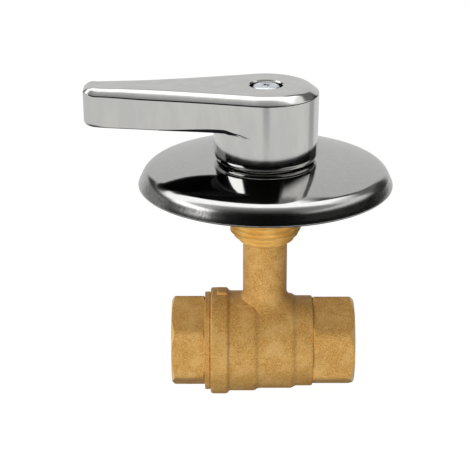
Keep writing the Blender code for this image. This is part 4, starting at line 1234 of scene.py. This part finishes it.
# Patches as a light with the azimuths and elevations it fills, each as (low, high, softness)
BACK_PATCHES = (
    (0.30, (-140, -60, 6.0), (-6, 14, 6.0)), (0.03, (-152, -98, 2.5), (13, 27, 2.5)))
HIGH_PATCHES = (
    (0.1, (-175, -154, 3.0), (39, 44, 1.5)), (0.6, (-94, -62, 5.0), (36, 60, 5.0)),
    (0.30, (36, 92, 6.0), (38, 62, 6.0)), (0.16, (118, 150, 4.0), (24, 43, 4.0)),
    (0.04, (108, 147, 3.0), (-4, 26, 3.0)))
LEFT_BOX = (2.3, (-97, -56, 1.5), (21, 41, 1.5))

# The ceiling's softbox, its fading right part and a gap, as spans on a ceiling of unit height
CEILING_DEPTH = (0.10, 0.95, 0.05)
CEILING_BOX = 1.7, (-2.1, 0.6, 0.1), CEILING_DEPTH
CEILING_GAP = 0.08, (0.20, 1.0, 0.07), (0.76, 1.07, 0.05)
CEILING_TAIL = (0.6, 2.6, 0.1), CEILING_DEPTH
CEILING_TAIL_LIGHT = 1.3
CEILING_TAIL_FALL = 0.48
CEILING_TAIL_LEAST = 0.27

# The dark front, the box on its right with a sloping lower edge, and the dark above it
FRONT = (-100.0, 114.0, 3.0), (17.0, 21.0)
RIGHT_BOX = (43.0, 118.0, 2.5), (19.0, 42.0, 2.0)
RIGHT_BOX_LIGHT = 0.95
RIGHT_BOX_EDGE = 42.0
RIGHT_BOX_EDGE_SLOPE = 0.2
RIGHT_BOX_EDGE_SPAN = (-4.0, 9.0)
DARK_HIGH = (-52.0, 36.0, 2.0), (122.0, 132.0)

FLOOR_TOP = (-8.0, -6.0)
FLOOR_FALL = (-58.0, -24.0)
FLOOR_STREAKS = (-7.0, 7.0, 3.0), (108.0, 128.0, 5.0)
FLOOR_STREAK_LOW = (-19.5, -19.0)


def paint(light, tone, mask):
    return light * (1.0 - mask) + tone * mask


def studio_world():
    """White to the camera, an even grey to matt surfaces, and painted for reflections."""
    world = bpy.data.worlds.new("studio")
    bpy.context.scene.world = world
    tree = Tree(world)
    x, y, z = tree.axes(tree.node("ShaderNodeTexCoord", output="Generated"))
    to_degrees = 180.0 / math.pi
    elevation = z.math("ARCSINE", z.least(1.0).most(-1.0)) * to_degrees
    azimuth = x.math("ARCTAN2", x, y * -1.0) * to_degrees
    over = y.math("ARCTAN2", z, y) * to_degrees
    ceiling_x = x / z.most(0.05)
    ceiling_y = y / z.most(0.05)

    def patch(light, tone, sides, heights):
        return paint(light, tone, azimuth.between(*sides) * elevation.between(*heights))

    fall = over.math("EXPONENT", (over - FRONT_EDGE_OVER) * (-1.0 / FRONT_EDGE_FADE))
    light = paint(BACKDROP_LIGHT, fall * FRONT_EDGE_LIGHT, over.rise(80.0, 88.0))
    for spot in BACK_PATCHES:
        light = patch(light, *spot)
    tail = (CEILING_TAIL_LIGHT - CEILING_TAIL_FALL * ceiling_x).most(CEILING_TAIL_LEAST)
    for tone, across, deep in ((tail, *CEILING_TAIL), CEILING_BOX, CEILING_GAP):
        light = paint(light, tone, ceiling_x.between(*across) * ceiling_y.between(*deep))
    for spot in HIGH_PATCHES:
        light = patch(light, *spot)
    front = azimuth.between(*FRONT[0]) * (1.0 - elevation.rise(*FRONT[1]))
    light = paint(light, DARK_LIGHT, front)
    light = patch(light, *LEFT_BOX)
    above_edge = elevation - (RIGHT_BOX_EDGE - RIGHT_BOX_EDGE_SLOPE * azimuth)
    light = patch(light, above_edge.rise(*RIGHT_BOX_EDGE_SPAN) * RIGHT_BOX_LIGHT, *RIGHT_BOX)
    dark_high = azimuth.between(*DARK_HIGH[0]) * over.rise(*DARK_HIGH[1])
    light = paint(light, DARK_LIGHT, dark_high)

    floor_light = paint(FLOOR_LIGHT, FLOOR_BELOW_LIGHT, 1.0 - elevation.rise(*FLOOR_FALL))
    streaks = azimuth.between(*FLOOR_STREAKS[0]).most(azimuth.between(*FLOOR_STREAKS[1]))
    streaks = streaks * elevation.rise(*FLOOR_STREAK_LOW)
    floor_light = paint(floor_light, FLOOR_STREAK_LIGHT, streaks)
    light = paint(light, floor_light, 1.0 - elevation.rise(*FLOOR_TOP))
    grey = tree.node("ShaderNodeCombineColor", None, light, light, light)
    color = tree.mix(tree.ray("Is Diffuse Ray"), grey, DIFFUSE_LIGHT)
    color = tree.mix(tree.ray("Is Camera Ray"), color, WHITE)
    tree.finish(tree.node("ShaderNodeBackground", None, color, 1.0), "ShaderNodeOutputWorld")


FLOOR_SIZE = 3.0
FLOOR_GAP = 0.2 * MM
FLOOR_COLOR = (0.10, 0.10, 0.095)
FLOOR_SHADE_COLOR = (0.30, 0.30, 0.30)
FLOOR_GLOW = 0.93


def studio_floor():
    """A dark floor that shows white to the camera and keeps the object's shadow."""
    bm = bmesh.new()
    bmesh.ops.create_grid(bm, x_segments=2, y_segments=2, size=FLOOR_SIZE / 2)
    moved(bm, 0, 0, CAD_LOW.z - FLOOR_GAP)
    material = bpy.data.materials.new("pale_floor")
    tree = Tree(material)
    plain = tree.node("ShaderNodeBsdfDiffuse", None, FLOOR_COLOR)
    shade = tree.node("ShaderNodeBsdfDiffuse", None, FLOOR_SHADE_COLOR)
    glow = tree.node("ShaderNodeEmission", None, WHITE, FLOOR_GLOW)
    shown = tree.node("ShaderNodeAddShader", None, shade, glow)
    tree.finish(tree.node("ShaderNodeMixShader", None, tree.ray("Is Camera Ray"), plain, shown))
    floor = new_piece("floor", bm, material)
    floor.visible_glossy = False


def softbox(name, place, target, size, watts, color):
    """A lamp that lights the matt brass and stays out of the chrome."""
    lamp = bpy.data.lights.new(name, "AREA")
    lamp.color = color
    lamp.shape = "RECTANGLE"
    lamp.size, lamp.size_y = size
    lamp.energy = watts
    item = bpy.data.objects.new(name, lamp)
    item.location = place
    item.rotation_euler = (Vector(target) - Vector(place)).to_track_quat("-Z", "Y").to_euler()
    item.visible_glossy = False
    bpy.context.scene.collection.objects.link(item)


studio_world()
studio_floor()
softbox("overhead_softbox", (0.0, 0.1, 1.1), (0, 0, 0.03), (1.0, 1.0), 0.6, (1.0, 0.94, 0.86))
softbox("front_softbox", (-0.35, -1.15, 0.12), (0, 0, 0.01), (0.9, 0.16), 21.5, (0.97, 1.0, 1.03))

bpy.context.scene.view_settings.view_transform = "Standard"
